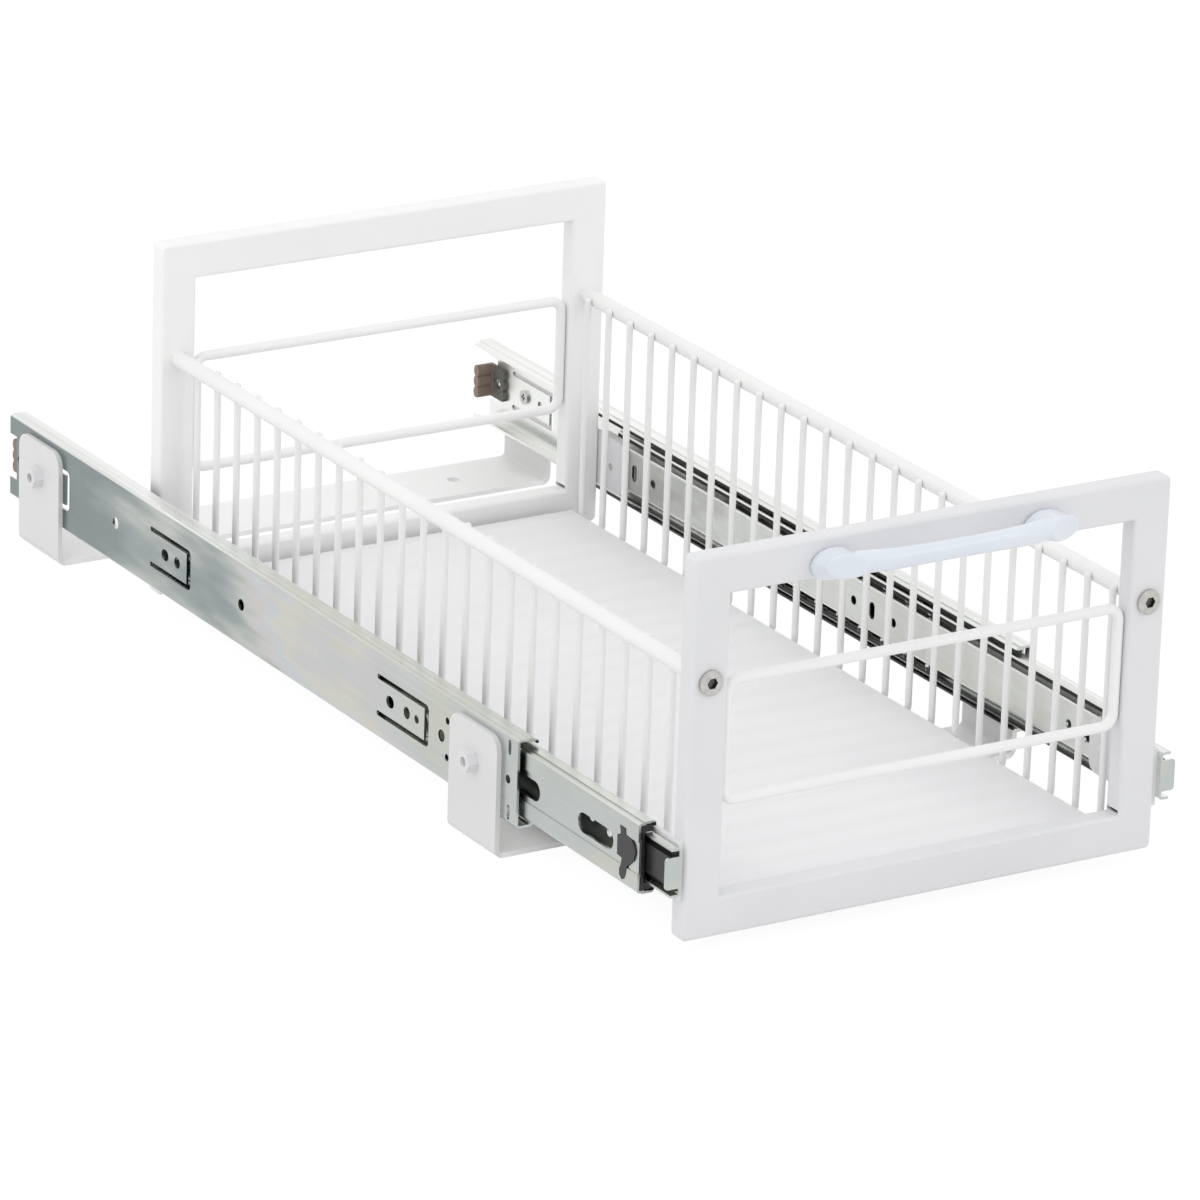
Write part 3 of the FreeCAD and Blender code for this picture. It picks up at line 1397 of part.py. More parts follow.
# Handle screws: from behind the top bar into the feet
def handle_screws():
    body = new_body("handle_screws")
    for name, across in (("shank", handle_screw), ("head", handle_screw_head)):
        drawing = sketch(body, name, "XZ_Plane", -tube_depth)
        for side in (-1, 1):
            circle(drawing, foot_spacing / 2 * side, foot_height, across)
        if name == "shank":
            pad(body, name, drawing, tube_depth + handle_screw_grip)
        else:
            pad(body, name, drawing, handle_screw_head_high, backwards=True)

    def rim(edge):
        return abs(edge.CenterOfMass.y - (tube_depth + handle_screw_head_high).value) < 0.01

    round_edges(body, "rim", handle_screw_bevel, rim, kind="Chamfer")
    place(body, 0, basket_front, frame_lift)


handle_screws()


# Finish: recompute, look over every object, and write one file per sub-part
doc.recompute()
unsound = [f"{item.Label} ({item.getStatusString()})" for item in doc.Objects
           if "Invalid" in item.State or "Error" in item.State]
for node in nodes:
    shape = node.Shape
    if shape.isNull() or not shape.isValid() or not shape.Solids:
        unsound.append(f"{node.Label} shape")
if unsound:
    raise RuntimeError("unsound: " + ", ".join(unsound))

os.makedirs("parts", exist_ok=True)
for node in nodes:
    node.Shape.exportStep(f"parts/{node.Label}.step")
    print(node.Label, len(node.Shape.Solids), round(node.Shape.Volume, 1))
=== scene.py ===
import math

import bpy
import numpy as np
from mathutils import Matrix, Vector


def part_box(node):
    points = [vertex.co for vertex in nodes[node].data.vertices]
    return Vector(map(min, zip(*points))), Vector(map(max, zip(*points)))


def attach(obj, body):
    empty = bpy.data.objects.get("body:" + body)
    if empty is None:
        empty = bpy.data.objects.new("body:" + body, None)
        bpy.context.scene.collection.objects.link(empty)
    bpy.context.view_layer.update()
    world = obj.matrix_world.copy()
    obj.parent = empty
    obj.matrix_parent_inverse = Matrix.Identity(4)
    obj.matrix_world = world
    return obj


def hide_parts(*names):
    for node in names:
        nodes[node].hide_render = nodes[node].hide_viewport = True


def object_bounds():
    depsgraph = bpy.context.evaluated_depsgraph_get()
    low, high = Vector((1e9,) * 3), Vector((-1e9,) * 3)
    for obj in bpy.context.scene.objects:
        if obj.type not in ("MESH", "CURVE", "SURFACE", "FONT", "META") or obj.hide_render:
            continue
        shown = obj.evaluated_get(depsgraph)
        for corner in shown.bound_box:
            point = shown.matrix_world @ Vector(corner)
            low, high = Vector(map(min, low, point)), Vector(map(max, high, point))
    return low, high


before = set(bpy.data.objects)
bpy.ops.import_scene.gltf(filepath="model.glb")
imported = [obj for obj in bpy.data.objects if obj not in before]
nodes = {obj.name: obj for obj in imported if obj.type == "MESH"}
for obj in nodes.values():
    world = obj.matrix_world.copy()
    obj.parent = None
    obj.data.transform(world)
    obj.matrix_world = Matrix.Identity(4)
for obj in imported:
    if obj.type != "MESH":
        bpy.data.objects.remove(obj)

cad_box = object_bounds()


# Brackets: two flat steel bars, folded up at both ends to carry the slides. They are powder
# coated white after bending, which leaves a fine orange-peel skin. Their coat is a brightened
# copy of the white, painted light, and the upright plates carry painted shade, greyer because
# less light falls on their sides.
BRIGHTENED_COAT = ((0.905, 0.905, 0.90, 1), (0.88, 0.88, 0.875, 1))
PLATE_PAINTED_SHADE = (0.725, 0.728, 0.722, 1)
PLATE_BLEND = 0.003
COAT_CLOUDS = 0.05
COAT_GLOSS_SPOTS = 0.012
COAT_ROUGHNESS = (0.34, 0.46)
PEEL_SIZE = 0.0016
PEEL_DEPTH = 0.00004
NOISE_LOW = 0.3
NOISE_HIGH = 0.7


def new_finish(name):
    """A new material, with its node tree, its surface shader and the object's own coordinates."""
    material = bpy.data.materials.new(name)
    material.use_nodes = True
    tree = material.node_tree
    surface = tree.nodes["Principled BSDF"]
    place = tree.nodes.new("ShaderNodeTexCoord").outputs["Object"]
    return material, tree, surface, place


def add_node(tree, kind, inputs, **settings):
    """A shader node whose inputs are set, or linked where a socket is given."""
    made = tree.nodes.new("ShaderNode" + kind)
    for name, value in settings.items():
        setattr(made, name, value)
    for name, value in inputs.items():
        if isinstance(value, bpy.types.NodeSocket):
            tree.links.new(value, made.inputs[name])
        else:
            made.inputs[name].default_value = value
    return made


def coordinate(tree, place, axis):
    """One of a vector's three numbers: X, Y or Z."""
    return add_node(tree, "SeparateXYZ", {"Vector": place}).outputs[axis]


def reckon(tree, step, first, second=0.0, **settings):
    """One step of arithmetic, such as ADD, or ABSOLUTE, which takes the first value only."""
    return add_node(tree, "Math", {0: first, 1: second}, operation=step, **settings).outputs[0]


def spread(tree, value, start, end, low=0.0, high=1.0, curve="LINEAR"):
    """Goes from low to high while the given value goes from start to end, and stays there."""
    limits = {"Value": value, "From Min": start, "From Max": end, "To Min": low, "To Max": high}
    return add_node(tree, "MapRange", limits, interpolation_type=curve).outputs["Result"]


def noise(tree, place, size, detail=2.0, stretch=(1, 1, 1)):
    """Soft noise whose spots are about one size across, drawn out along the stretched axes.
    It mostly lies between NOISE_LOW and NOISE_HIGH."""
    scale = [1 / (size * along) for along in stretch]
    scaled = add_node(tree, "Mapping", {"Vector": place, "Scale": scale})
    made = add_node(tree, "TexNoise", {"Vector": scaled.outputs[0], "Scale": 1.0, "Detail": detail})
    return made.outputs["Fac"]


def blend_colours(tree, value, stops):
    """Colours laid out along a value from 0 to 1."""
    made = add_node(tree, "ValToRGB", {"Fac": value})
    ramp = made.color_ramp
    for spot, colour in stops[1:-1]:
        ramp.elements.new(spot).color = colour
    ends = (ramp.elements[0], ramp.elements[-1])
    for end, (spot, colour) in zip(ends, (stops[0], stops[-1])):
        end.position = spot
        end.color = colour
    return made.outputs["Color"]


def two_tones(tree, value, tones, start=NOISE_LOW, end=NOISE_HIGH):
    """Goes from the first tone to the second while the value goes from start to end."""
    return blend_colours(tree, value, [(start, tones[0]), (end, tones[1])])


def lay_over(tree, under, over, share, way="MIX"):
    """One colour over another, by a share from 0 to 1."""
    layers = {6: under, 7: over, 0: share}
    return add_node(tree, "Mix", layers, data_type="RGBA", blend_type=way).outputs[2]


def finish(tree, surface, colour, patches, roughness):
    """Gives the surface its colour, and patches that drift from smooth to rough."""
    tree.links.new(colour, surface.inputs["Base Color"])
    dulled = spread(tree, patches, NOISE_LOW, NOISE_HIGH, *roughness)
    tree.links.new(dulled, surface.inputs["Roughness"])


def relief(tree, surface, height, depth):
    """Raises the surface by a height from 0 to 1 times the depth, on top of any relief before it."""
    made = add_node(tree, "Bump", {"Strength": 1.0, "Distance": depth, "Height": height})
    if surface.inputs["Normal"].is_linked:
        tree.links.new(surface.inputs["Normal"].links[0].from_socket, made.inputs["Normal"])
    tree.links.new(made.outputs[0], surface.inputs["Normal"])


def powder_coat(name, tones):
    """White powder coat: nearly even colour, half gloss, orange-peel relief."""
    material, tree, surface, place = new_finish(name)
    colour = two_tones(tree, noise(tree, place, COAT_CLOUDS), tones)
    finish(tree, surface, colour, noise(tree, place, COAT_GLOSS_SPOTS), COAT_ROUGHNESS)
    relief(tree, surface, noise(tree, place, PEEL_SIZE), PEEL_DEPTH)
    return material, tree, surface, place


def bracket_coat():
    """Powder coat with painted shade on the plates, which stand outside the slides' outer faces."""
    material, tree, surface, place = powder_coat("bracket_coat", BRIGHTENED_COAT)
    fresh = surface.inputs["Base Color"].links[0].from_socket
    slide_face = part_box("right_outer_member")[1].x
    across = reckon(tree, "ABSOLUTE", coordinate(tree, place, "X"))
    # Painted shade: the upright plates are greyed because less light falls on them.
    on_plate = spread(tree, across, slide_face - PLATE_BLEND, slide_face)
    tree.links.new(lay_over(tree, fresh, PLATE_PAINTED_SHADE, on_plate), surface.inputs["Base Color"])
    return material


def give(material, *names):
    """Puts one material on the named CAD nodes."""
    for name in names:
        nodes[name].data.materials.clear()
        nodes[name].data.materials.append(material)


give(bracket_coat(), "front_bracket", "rear_bracket")


# Bracket nuts: hexagons welded on the plates' outer faces and coated with them. They share
# the plain white coat, slightly greyer than the brightened coat, which is painted light.
PLAIN_COAT = ((0.755, 0.757, 0.772, 1), (0.725, 0.728, 0.745, 1))

plain_coat = powder_coat("white_powder_coat", PLAIN_COAT)[0]
give(plain_coat, "bracket_nuts")


# Slide members: cold-rolled steel strip, formed to channels, punched and zinc plated. The clear
# passivation leaves soft clouds of blue, yellow and pink, and the rolls leave faint lines along
# the channel. Each slide has its own tints, listed from its rear end to its front end. They are
# partly the passivation's colour and partly painted reflection: the left slide's dark run,
# darkest at the rear, stands in for the floor's shadow seen in its outer face.
LEFT_TINTS_AND_REFLECTION = [
    (0.00, (0.235, 0.27, 0.272, 1)), (0.20, (0.25, 0.287, 0.288, 1)), (0.31, (0.34, 0.38, 0.375, 1)),
    (0.40, (0.53, 0.55, 0.52, 1)), (0.45, (0.60, 0.575, 0.575, 1)), (0.50, (0.57, 0.605, 0.625, 1)),
    (0.55, (0.625, 0.62, 0.55, 1)), (0.62, (0.59, 0.585, 0.59, 1)), (0.70, (0.55, 0.59, 0.57, 1)),
    (0.78, (0.59, 0.60, 0.54, 1)), (0.86, (0.54, 0.575, 0.57, 1)), (1.00, (0.54, 0.57, 0.55, 1)),
]
PALE_TINTS = [
    (0.00, (0.90, 0.91, 0.88, 1)), (0.50, (0.84, 0.85, 0.80, 1)), (0.75, (0.72, 0.75, 0.72, 1)),
    (1.00, (0.66, 0.70, 0.67, 1)),
]
INNER_TINTS = [
    (0.24, (0.60, 0.60, 0.58, 1)), (0.36, (0.86, 0.89, 0.85, 1)), (0.60, (0.92, 0.94, 0.90, 1)),
    (0.80, (0.82, 0.83, 0.78, 1)), (1.00, (0.88, 0.90, 0.87, 1)),
]
# Painted highlight on the bends and on faces turned up or down, from the rear end to the front end.
LEFT_BEND_HIGHLIGHTS = [
    (0.30, (0.965, 0.97, 0.955, 1)), (0.44, (0.72, 0.74, 0.68, 1)), (0.75, (0.66, 0.68, 0.62, 1)),
    (0.90, (0.80, 0.81, 0.77, 1)),
]
PALE_BEND_HIGHLIGHTS = [(0.00, (0.965, 0.97, 0.955, 1)), (1.00, (0.88, 0.89, 0.87, 1))]
TINT_START = 0.30
TINT_END = -0.42
CLOUD_SIZE = 0.09
CLOUD_STRETCH = (1, 1.6, 0.5)
CLOUD_DRIFT = 0.16
PATCH_SIZE = 0.018
PATCH_STRETCH = (1, 2.2, 0.4)
PATCH_DRIFT = 0.05
STREAK_SIZE = 0.0020
STREAK_STRETCH = (1, 120, 1)
STREAK_DEPTH = 0.000004
FACE_STREAKS = ((0.955, 0.955, 0.955, 1), (1, 1, 1, 1))
BEND_STREAKS = ((0.86, 0.86, 0.85, 1), (1, 1, 1, 1))
BEND_STREAK_START = 0.35
BEND_STREAK_END = 0.6
BEND_START = 0.25
BEND_END = 0.70
BEND_SHARE = 0.85
OUTER_TURN = 0.5
ZINC_ROUGHNESS = (0.24, 0.34)
# Painted shade on the lips' edges, which darkens the dark bands inside the channels.
LIP_DEPTH = 0.0097
LIP_SHADE_EDGES = ((0.0150, 0.0171), (0.0190, 0.0211))
SHADE_BLUR = 0.008
SHADE_END = 0.150
SHADE_FADE = 0.015
SHADE_BLACK = (0.035, 0.035, 0.033, 1)


def lip_shade(tree, place):
    """1 on the lips' edges, which carry painted shade to deepen the dark bands inside the
    channels, from the front end back to a set point, 0 elsewhere. The lips lie deeper than the
    outer faces, and their edges at set heights from the middle."""
    low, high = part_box("right_outer_member")
    centre = (low.z + high.z) / 2
    half_height = high.z - centre
    off_centre = reckon(tree, "SUBTRACT", coordinate(tree, place, "Z"), centre)
    share = reckon(tree, "DIVIDE", reckon(tree, "ABSOLUTE", off_centre), half_height)
    unshaded, shaded = (0, 0, 0, 1), (1, 1, 1, 1)
    stops = [(0.0, unshaded)]
    for edges in LIP_SHADE_EDGES:
        start, end = (edge / half_height for edge in edges)
        stops += [(start, unshaded), (start + SHADE_BLUR, shaded), (end - SHADE_BLUR, shaded), (end, unshaded)]
    lines = blend_colours(tree, share, stops + [(1.0, unshaded)])
    across = reckon(tree, "ABSOLUTE", coordinate(tree, place, "X"))
    on_lip = reckon(tree, "LESS_THAN", across, high.x - LIP_DEPTH)
    along = coordinate(tree, place, "Y")
    in_reach = spread(tree, along, SHADE_END, SHADE_END + SHADE_FADE, 1.0, 0.0)
    return reckon(tree, "MULTIPLY", reckon(tree, "MULTIPLY", lines, in_reach), on_lip)


def drifting(tree, place, size, stretch, reach):
    """Soft patches that swing from minus the reach to the reach."""
    return spread(tree, noise(tree, place, size, 1.0, stretch), NOISE_LOW, NOISE_HIGH, -reach, reach)


def zinc_plate(name, tints, bend_highlights, shaded_face_tints=None):
    """Bright zinc: tints drift along the channel, partly passivation colour and partly painted
    reflection, and faint lines run with the rolling. Faces turned up or down and the bends carry
    a painted highlight, with its own run of colours. Faces turned to the right or the front take
    the darker tints as painted shade, where they are given. The lips' edges take painted shade."""
    material, tree, surface, place = new_finish(name)
    surface.inputs["Metallic"].default_value = 1.0
    run = spread(tree, coordinate(tree, place, "Y"), TINT_START, TINT_END)
    clouds = drifting(tree, place, CLOUD_SIZE, CLOUD_STRETCH, CLOUD_DRIFT)
    patches = drifting(tree, place, PATCH_SIZE, PATCH_STRETCH, PATCH_DRIFT)
    drift = reckon(tree, "ADD", run, reckon(tree, "ADD", clouds, patches), use_clamp=True)
    colour = blend_colours(tree, drift, tints)
    facing = tree.nodes.new("ShaderNodeNewGeometry").outputs["Normal"]
    # Painted shade: faces turned to the right or the front take the darker tints.
    if shaded_face_tints:
        forward = reckon(tree, "MULTIPLY", coordinate(tree, facing, "Y"), -1.0)
        turned = reckon(tree, "MAXIMUM", coordinate(tree, facing, "X"), forward)
        on_shaded_face = reckon(tree, "GREATER_THAN", turned, OUTER_TURN)
        colour = lay_over(tree, colour, blend_colours(tree, drift, shaded_face_tints), on_shaded_face)
    streaks = noise(tree, place, STREAK_SIZE, 2.0, STREAK_STRETCH)
    drawn = lay_over(tree, colour, two_tones(tree, streaks, FACE_STREAKS), 1.0, "MULTIPLY")
    # Painted highlight: faces turned up or down, and the bends between, lighten towards near white.
    level = reckon(tree, "ABSOLUTE", coordinate(tree, facing, "Z"))
    highlight_share = spread(tree, level, BEND_START, BEND_END, 0.0, BEND_SHARE, "SMOOTHSTEP")
    lines = two_tones(tree, streaks, BEND_STREAKS, BEND_STREAK_START, BEND_STREAK_END)
    painted_highlight = lay_over(tree, blend_colours(tree, run, bend_highlights), lines, 1.0, "MULTIPLY")
    highlighted = lay_over(tree, drawn, painted_highlight, highlight_share)
    # Painted shade on the lips' edges.
    lip_shaded = lay_over(tree, highlighted, SHADE_BLACK, lip_shade(tree, place))
    finish(tree, surface, lip_shaded, noise(tree, place, CLOUD_SIZE / 3, 1.0), ZINC_ROUGHNESS)
    relief(tree, surface, streaks, STREAK_DEPTH)
    return material


left_zinc = zinc_plate("left_zinc", LEFT_TINTS_AND_REFLECTION, LEFT_BEND_HIGHLIGHTS)
give(left_zinc, "left_outer_member", "left_middle_member", "left_inner_member")
right_zinc = zinc_plate("right_zinc", PALE_TINTS, PALE_BEND_HIGHLIGHTS, LEFT_TINTS_AND_REFLECTION)
give(right_zinc, "right_outer_member", "right_middle_member")
inner_zinc = zinc_plate("inner_zinc", INNER_TINTS, PALE_BEND_HIGHLIGHTS, LEFT_TINTS_AND_REFLECTION)
give(inner_zinc, "right_inner_member")


# Screws and lever pins: turned and headed steel, zinc plated as the slide members are. The
# bracket screws come from inside the channels, and the handle's from behind the top bar.
give(inner_zinc, "bracket_screws", "tab_screws", "handle_screws", "lever_pins")


# Rear bumpers: moulded brown rubber with three lobes, pressed into the channels' rear ends.
# The skin is dull, with a paler bloom where it has been handled. The foot, which lies in the
# channel in front of the lobes, is painted dark grey: painted shade, where the channel shades it.
RUBBER_TONES = ((0.235, 0.170, 0.142, 1), (0.300, 0.218, 0.184, 1))
FOOT_PAINTED_SHADE = (0.125, 0.122, 0.108, 1)
RUBBER_ROUGHNESS = (0.55, 0.75)
LOBE_LENGTH = 0.0052
FOOT_BLEND = 0.0012
BLOOM_SIZE = 0.004
SKIN_SIZE = 0.0006
SKIN_DEPTH = 0.00003


def brown_rubber():
    """Dull brown rubber with a faint bloom, and painted shade on the foot."""
    material, tree, surface, place = new_finish("brown_rubber")
    bloom = noise(tree, place, BLOOM_SIZE, 4.0)
    # Painted shade: the foot, inside the channel, is painted dark grey.
    foot_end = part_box("right_rear_bumper")[1].y - LOBE_LENGTH
    on_foot = spread(tree, coordinate(tree, place, "Y"), foot_end, foot_end - FOOT_BLEND)
    colour = lay_over(tree, two_tones(tree, bloom, RUBBER_TONES), FOOT_PAINTED_SHADE, on_foot)
    finish(tree, surface, colour, bloom, RUBBER_ROUGHNESS)
    relief(tree, surface, noise(tree, place, SKIN_SIZE), SKIN_DEPTH)
    return material


give(brown_rubber(), "left_rear_bumper", "right_rear_bumper")


# Latches, front stops, lever housings and release levers: black moulded plastic with a fine
# spark-eroded grain, snapped or riveted into the channels. It is rubbed along the slide.
BLACK_PARTS = ("middle_latch", "front_stop", "lever_housing", "release_lever")
BLACK_TONES = ((0.017, 0.016, 0.018, 1), (0.036, 0.034, 0.038, 1))
BLACK_ROUGHNESS = (0.32, 0.50)
RUB_SIZE = 0.0015
RUB_STRETCH = (1, 12, 1)
RUB_START = 0.35
RUB_END = 0.75
BLACK_GRAIN_SIZE = 0.0005
BLACK_GRAIN_DEPTH = 0.00002


def black_plastic():
    """Black plastic, half gloss, with fine grain and faint rubbing marks along the slide."""
    material, tree, surface, place = new_finish("black_plastic")
    marks = noise(tree, place, RUB_SIZE, 3.0, RUB_STRETCH)
    colour = two_tones(tree, marks, BLACK_TONES, RUB_START, RUB_END)
    finish(tree, surface, colour, marks, BLACK_ROUGHNESS)
    relief(tree, surface, noise(tree, place, BLACK_GRAIN_SIZE), BLACK_GRAIN_DEPTH)
    return material


black = black_plastic()
for side in ("left", "right"):
    give(black, *[f"{side}_{part}" for part in BLACK_PARTS])


# Ball retainers: thin strips of blank steel, punched and bent, which hold the balls at their
# distance. They lie in a film of grease, which is thicker in patches. Their dark tones are
# partly the grease and partly painted shade inside the channels.
RETAINER_TONES = ((0.10, 0.10, 0.095, 1), (0.22, 0.22, 0.21, 1))
RETAINER_ROUGHNESS = (0.18, 0.42)
FILM_SIZE = 0.005
FILM_STRETCH = (1, 3, 1)
FILM_DEPTH = 0.00005


def greased_and_shaded_steel():
    """Dark steel, partly painted shade, in a film of grease, which lies in patches along the strip."""
    material, tree, surface, place = new_finish("greased_and_shaded_steel")
    surface.inputs["Metallic"].default_value = 1.0
    film = noise(tree, place, FILM_SIZE, 3.0, FILM_STRETCH)
    finish(tree, surface, two_tones(tree, film, RETAINER_TONES), film, RETAINER_ROUGHNESS)
    relief(tree, surface, film, FILM_DEPTH)
    return material


steel = greased_and_shaded_steel()
give(steel, "left_outer_retainer", "right_outer_retainer", "left_inner_retainer", "right_inner_retainer")


# Balls: hardened steel, ground and polished, which run between the members' grooved flanges.
# Rolling has left faint marks on them.
BALL_TONES = ((0.60, 0.60, 0.60, 1), (0.70, 0.70, 0.70, 1))
BALL_ROUGHNESS = (0.06, 0.14)
ROLL_MARK_SIZE = 0.0008


def ball_steel():
    """Polished steel with faint rolling marks."""
    material, tree, surface, place = new_finish("ball_steel")
    surface.inputs["Metallic"].default_value = 1.0
    marks = noise(tree, place, ROLL_MARK_SIZE)
    finish(tree, surface, two_tones(tree, marks, BALL_TONES), marks, BALL_ROUGHNESS)
    return material


give(ball_steel(), "left_outer_balls", "right_outer_balls", "left_inner_balls", "right_inner_balls")


# End frames: flat rectangular tube, mitred, welded and ground flush before coating, so that
# each corner keeps a faint line in the coat. The front frame has the plain white coat, and the
# rear frame a brightened copy of it, painted light, as less light reaches it.
FRAME_PARTS = ("left_post", "right_post", "top_bar", "bottom_bar")
MITRE_WIDTH = 0.0012
MITRE_DEPTH = 0.00006


def frame_coat(name, tones):
    """Powder coat with a shallow line where the ground mitre welds lie: where a point is as far
    from the frame's side as from its top or base."""
    material, tree, surface, place = powder_coat(name, tones)
    low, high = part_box("front_left_post")
    up = coordinate(tree, place, "Z")
    across = reckon(tree, "ABSOLUTE", coordinate(tree, place, "X"))
    from_side = reckon(tree, "SUBTRACT", -low.x, across)
    from_top = reckon(tree, "SUBTRACT", high.z, up)
    from_base = reckon(tree, "SUBTRACT", up, low.z)
    from_end = reckon(tree, "MINIMUM", from_top, from_base)
    off_mitre = reckon(tree, "ABSOLUTE", reckon(tree, "SUBTRACT", from_side, from_end))
    ground = spread(tree, off_mitre, 0.0, MITRE_WIDTH, curve="SMOOTHSTEP")
    relief(tree, surface, ground, MITRE_DEPTH)
    return material


for end, tones in (("front", PLAIN_COAT), ("rear", BRIGHTENED_COAT)):
    give(frame_coat(f"{end}_frame_coat", tones), *[f"{end}_{part}" for part in FRAME_PARTS])


# Guard rings, rails and basket wires: drawn wire and round bar, bent, welded and coated
# together. The rear ring takes the rear frame's brightened coat, painted light, as less light
# reaches it.
WIRE_COAT = ((0.872, 0.872, 0.865, 1), (0.842, 0.842, 0.838, 1))

wire_coat = powder_coat("wire_powder_coat", WIRE_COAT)[0]
give(wire_coat, "front_guard_ring", "left_top_rail", "right_top_rail", "basket_wires")
give(powder_coat("brightened_powder_coat", BRIGHTENED_COAT)[0], "rear_guard_ring")


# Rail screws: turned stainless steel with a flat round head and a hex socket, which carries
# painted shade. They draw the posts against the rails' ends.
STAINLESS_TONES = ((0.50, 0.49, 0.47, 1), (0.62, 0.61, 0.59, 1))
STAINLESS_ROUGHNESS = (0.24, 0.36)
STAIN_SIZE = 0.003
RING_PITCH = 0.0005
RING_DEPTH = 0.000008
SOCKET_SHADE = (0.11, 0.105, 0.10, 1)
SHADE_RADIUS = 0.0036
FULL_SHADE_RADIUS = 0.0031
SHADE_DEPTH = 0.0002
FULL_SHADE_DEPTH = 0.0009


def turned_steel():
    """Stainless steel with turning rings: the height is the sine of the distance from the head's
    middle, one turn per ring. Painted shade fills the socket inside a radius and below a depth."""
    material, tree, surface, place = new_finish("turned_stainless")
    surface.inputs["Metallic"].default_value = 1.0
    low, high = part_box("rail_screws")
    middle = (low + high) / 2
    head_radius = high.z - middle.z
    mirrored = add_node(tree, "VectorMath", {0: place}, operation="ABSOLUTE").outputs[0]
    centre = (high.x - head_radius, 0, middle.z)
    outwards = add_node(tree, "VectorMath", {0: mirrored, 1: centre}, operation="SUBTRACT").outputs[0]
    on_face = add_node(tree, "VectorMath", {0: outwards, 1: (1, 0, 1)}, operation="MULTIPLY").outputs[0]
    radius = add_node(tree, "VectorMath", {0: on_face}, operation="LENGTH").outputs["Value"]
    rings = reckon(tree, "SINE", reckon(tree, "MULTIPLY", radius, 2 * math.pi / RING_PITCH))
    in_socket = spread(tree, radius, SHADE_RADIUS, FULL_SHADE_RADIUS)
    from_middle = reckon(tree, "SUBTRACT", coordinate(tree, place, "Y"), middle.y)
    below_face = reckon(tree, "SUBTRACT", high.y - middle.y, reckon(tree, "ABSOLUTE", from_middle))
    sunk = spread(tree, below_face, SHADE_DEPTH, FULL_SHADE_DEPTH)
    stains = noise(tree, place, STAIN_SIZE, 3.0)
    unshaded = two_tones(tree, stains, STAINLESS_TONES)
    # Painted shade in the socket.
    colour = lay_over(tree, unshaded, SOCKET_SHADE, reckon(tree, "MULTIPLY", sunk, in_socket))
    finish(tree, surface, colour, stains, STAINLESS_ROUGHNESS)
    relief(tree, surface, rings, RING_DEPTH)
    return material


give(turned_steel(), "rail_screws")


# Mounting tabs: short steel strips welded on the posts' outer faces, where the inner members
# are screwed on. They are coated with the frames.
give(plain_coat, "front_left_tab", "front_right_tab", "rear_left_tab", "rear_right_tab")


# Liner: a sheet of white plastic laid on the wires. It has crept over them with use, so it
# rises and falls by a fraction of a millimetre from wire to wire.
LINER_TONES = ((0.83, 0.83, 0.845, 1), (0.86, 0.86, 0.87, 1))
LINER_ROUGHNESS = (0.42, 0.55)
LINER_CLOUDS = 0.08
LINER_GLOSS_SPOTS = 0.01
LINER_GRAIN_SIZE = 0.0008
LINER_GRAIN_DEPTH = 0.00002
WIRE_COUNT = 24
WIRE_ACROSS = 0.0035
CREEP_DEPTH = 0.0006


def liner_plastic():
    """Matt white plastic with a pressed texture. Its creep is a cosine along Y, one turn per wire."""
    material, tree, surface, place = new_finish("liner_plastic")
    colour = two_tones(tree, noise(tree, place, LINER_CLOUDS), LINER_TONES)
    finish(tree, surface, colour, noise(tree, place, LINER_GLOSS_SPOTS), LINER_ROUGHNESS)
    low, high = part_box("basket_wires")
    pitch = (high.y - low.y - WIRE_ACROSS) / (WIRE_COUNT - 1)
    first_wire = low.y + WIRE_ACROSS / 2
    past_first = reckon(tree, "SUBTRACT", coordinate(tree, place, "Y"), first_wire)
    wave = reckon(tree, "COSINE", reckon(tree, "MULTIPLY", past_first, 2 * math.pi / pitch))
    relief(tree, surface, wave, CREEP_DEPTH / 2)
    relief(tree, surface, noise(tree, place, LINER_GRAIN_SIZE), LINER_GRAIN_DEPTH)
    return material


give(liner_plastic(), "liner")


# Handle: a bow moulded in glossy white plastic, screwed on from behind the top bar. Its
# edges are well rounded in the mould, so that one form flows into the next.
HANDLE_TONES = ((0.71, 0.75, 0.82, 1), (0.745, 0.785, 0.845, 1))
HANDLE_ROUGHNESS = (0.16, 0.24)
HANDLE_CLOUDS = 0.03
HANDLE_GLOSS_SPOTS = 0.006
SINK_MARK_SIZE = 0.004
SINK_MARK_DEPTH = 0.00002
CELL_SIZE = 0.0009
SOFT_STEPS = 12
SOFT_SHARE = 0.5


def handle_plastic():
    """Glossy white plastic with a cool cast and hardly any relief."""
    material, tree, surface, place = new_finish("handle_plastic")
    colour = two_tones(tree, noise(tree, place, HANDLE_CLOUDS), HANDLE_TONES)
    finish(tree, surface, colour, noise(tree, place, HANDLE_GLOSS_SPOTS), HANDLE_ROUGHNESS)
    relief(tree, surface, noise(tree, place, SINK_MARK_SIZE), SINK_MARK_DEPTH)
    return material


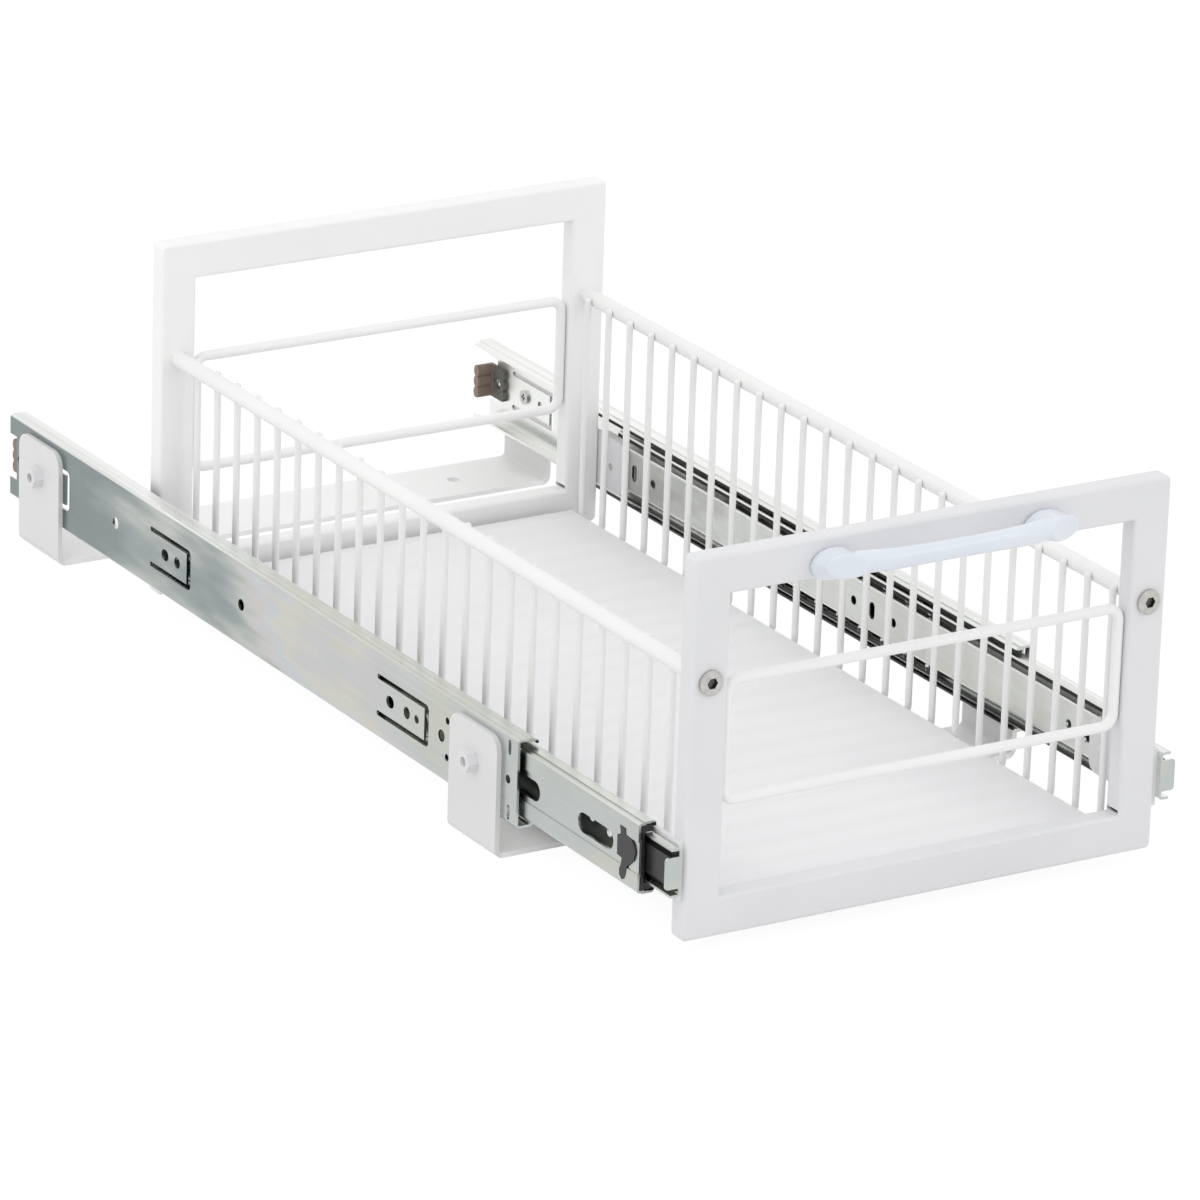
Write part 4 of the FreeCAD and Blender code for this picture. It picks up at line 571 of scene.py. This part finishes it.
def moulded_handle():
    """The handle's solid with flowing edges. It is cut into cells of one size, and each point
    then goes half way to the mean of its neighbours, once per step: p = p / 2 + mean / 2. No
    point leaves the solid's own box."""
    solid = nodes["handle"]
    start = bpy.data.objects.new("handle_start", solid.data.copy())
    bpy.context.scene.collection.objects.link(start)
    start.matrix_world = solid.matrix_world
    cells = start.modifiers.new("cells", "REMESH")
    cells.mode = "VOXEL"
    cells.voxel_size = CELL_SIZE
    soften = start.modifiers.new("soften", "SMOOTH")
    soften.factor = SOFT_SHARE
    soften.iterations = SOFT_STEPS
    mesh = bpy.data.meshes.new_from_object(start.evaluated_get(bpy.context.evaluated_depsgraph_get()))
    mesh.transform(solid.matrix_world)
    bpy.data.objects.remove(start)
    spots = np.empty(len(mesh.vertices) * 3)
    mesh.vertices.foreach_get("co", spots)
    low, high = (np.array(corner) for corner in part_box("handle"))
    mesh.vertices.foreach_set("co", np.clip(spots.reshape(-1, 3), low, high).ravel())
    mesh.polygons.foreach_set("use_smooth", np.ones(len(mesh.polygons), dtype=bool))
    mesh.materials.clear()
    mesh.materials.append(handle_plastic())
    piece = bpy.data.objects.new("moulded_handle", mesh)
    bpy.context.scene.collection.objects.link(piece)
    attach(piece, "basket")
    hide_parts("handle")


moulded_handle()


# Floor: plain white paper that meets the light sky without a visible edge. The camera and
# mirrors see it near white, and the basket's shadow stays on it.
FLOOR_HALF = 8.0
FLOOR_DROP = 0.0002
PAPER_GLOW = 0.93
PAPER_WHITE = (0.88, 0.88, 0.88, 1)
SHADOW_GREY = (0.10, 0.10, 0.10, 1)
PURE_WHITE = (1, 1, 1, 1)


def seen_directly(tree):
    """1 for camera, glossy and transmission rays, 0 for the rays that light the object."""
    path = tree.nodes.new("ShaderNodeLightPath").outputs
    mirrored = reckon(tree, "MAXIMUM", path["Is Glossy Ray"], path["Is Transmission Ray"])
    return reckon(tree, "MAXIMUM", path["Is Camera Ray"], mirrored)


def paper_floor():
    """A large flat sheet under the brackets."""
    ends = (-FLOOR_HALF, FLOOR_HALF)
    corners = [(x, y, -FLOOR_DROP) for y in ends for x in ends]
    mesh = bpy.data.meshes.new("floor")
    mesh.from_pydata(corners, [], [(0, 1, 3, 2)])
    floor = bpy.data.objects.new("floor", mesh)
    bpy.context.scene.collection.objects.link(floor)
    material = bpy.data.materials.new("white_paper")
    material.use_nodes = True
    tree = material.node_tree
    tree.nodes.clear()
    lighting = add_node(tree, "BsdfDiffuse", {"Color": PAPER_WHITE}).outputs[0]
    glow = add_node(tree, "Emission", {"Color": PURE_WHITE, "Strength": PAPER_GLOW}).outputs[0]
    shadow = add_node(tree, "BsdfDiffuse", {"Color": SHADOW_GREY}).outputs[0]
    seen = add_node(tree, "AddShader", {0: glow, 1: shadow}).outputs[0]
    mixed = add_node(tree, "MixShader", {0: seen_directly(tree), 1: lighting, 2: seen}).outputs[0]
    add_node(tree, "OutputMaterial", {"Surface": mixed})
    mesh.materials.append(material)


paper_floor()


# Light: an even white sky, and three large soft lamps, one overhead, one from the front right,
# and one at the left, which stands behind the front frame's plane and lifts the rear. Each
# lamp has its name, its place, its side in metres and its power in watts.
SKY_LIGHT = 0.945
SKY_SEEN = 1.0
LAMPS = (
    ("overhead_lamp", (-0.6, 0.2, 3.0), 2.0, 5.0),
    ("front_lamp", (1.6, -3.0, 1.6), 1.6, 9.0),
    ("left_lamp", (-1.9, -0.35, 1.0), 1.2, 4.5),
)


def sky():
    """White where it is seen, and a little lower where it lights the object."""
    world = bpy.data.worlds.new("sky")
    bpy.context.scene.world = world
    world.use_nodes = True
    tree = world.node_tree
    tree.nodes.clear()
    light = add_node(tree, "Background", {"Color": PURE_WHITE, "Strength": SKY_LIGHT}).outputs[0]
    seen = add_node(tree, "Background", {"Color": PURE_WHITE, "Strength": SKY_SEEN}).outputs[0]
    mixed = add_node(tree, "MixShader", {0: seen_directly(tree), 1: light, 2: seen}).outputs[0]
    add_node(tree, "OutputWorld", {"Surface": mixed})


def soft_lamp(name, place, side, power):
    """A square lamp that looks from its place towards the object's middle."""
    data = bpy.data.lights.new(name, "AREA")
    data.size = side
    data.energy = power
    lamp = bpy.data.objects.new(name, data)
    bpy.context.scene.collection.objects.link(lamp)
    lamp.location = place
    aim = (cad_box[0] + cad_box[1]) / 2 - lamp.location
    lamp.rotation_euler = aim.to_track_quat("-Z", "Y").to_euler()


sky()
for lamp in LAMPS:
    soft_lamp(*lamp)


# Camera: a long lens from the front left, a little above, as in the photograph. Its place is
# in metres, its turn in degrees, and its lens and sensor in millimetres.
CAMERA_PLACE = (-1.9338, -3.2369, 1.4144)
CAMERA_TURN = (69.523, -1.725, -30.812)
CAMERA_LENS = 236.8
CAMERA_SENSOR = 36.0
CAMERA_SHIFT = (0.0171, 0.0292)
NEAREST = 0.1
FARTHEST = 50.0

lens = bpy.data.cameras.new("camera")
lens.sensor_width = CAMERA_SENSOR
lens.lens = CAMERA_LENS
lens.shift_x, lens.shift_y = CAMERA_SHIFT
lens.clip_start = NEAREST
lens.clip_end = FARTHEST
camera = bpy.data.objects.new("camera", lens)
bpy.context.scene.collection.objects.link(camera)
camera.location = CAMERA_PLACE
camera.rotation_euler = [math.radians(angle) for angle in CAMERA_TURN]
bpy.context.scene.camera = camera
bpy.context.scene.view_settings.view_transform = "Standard"
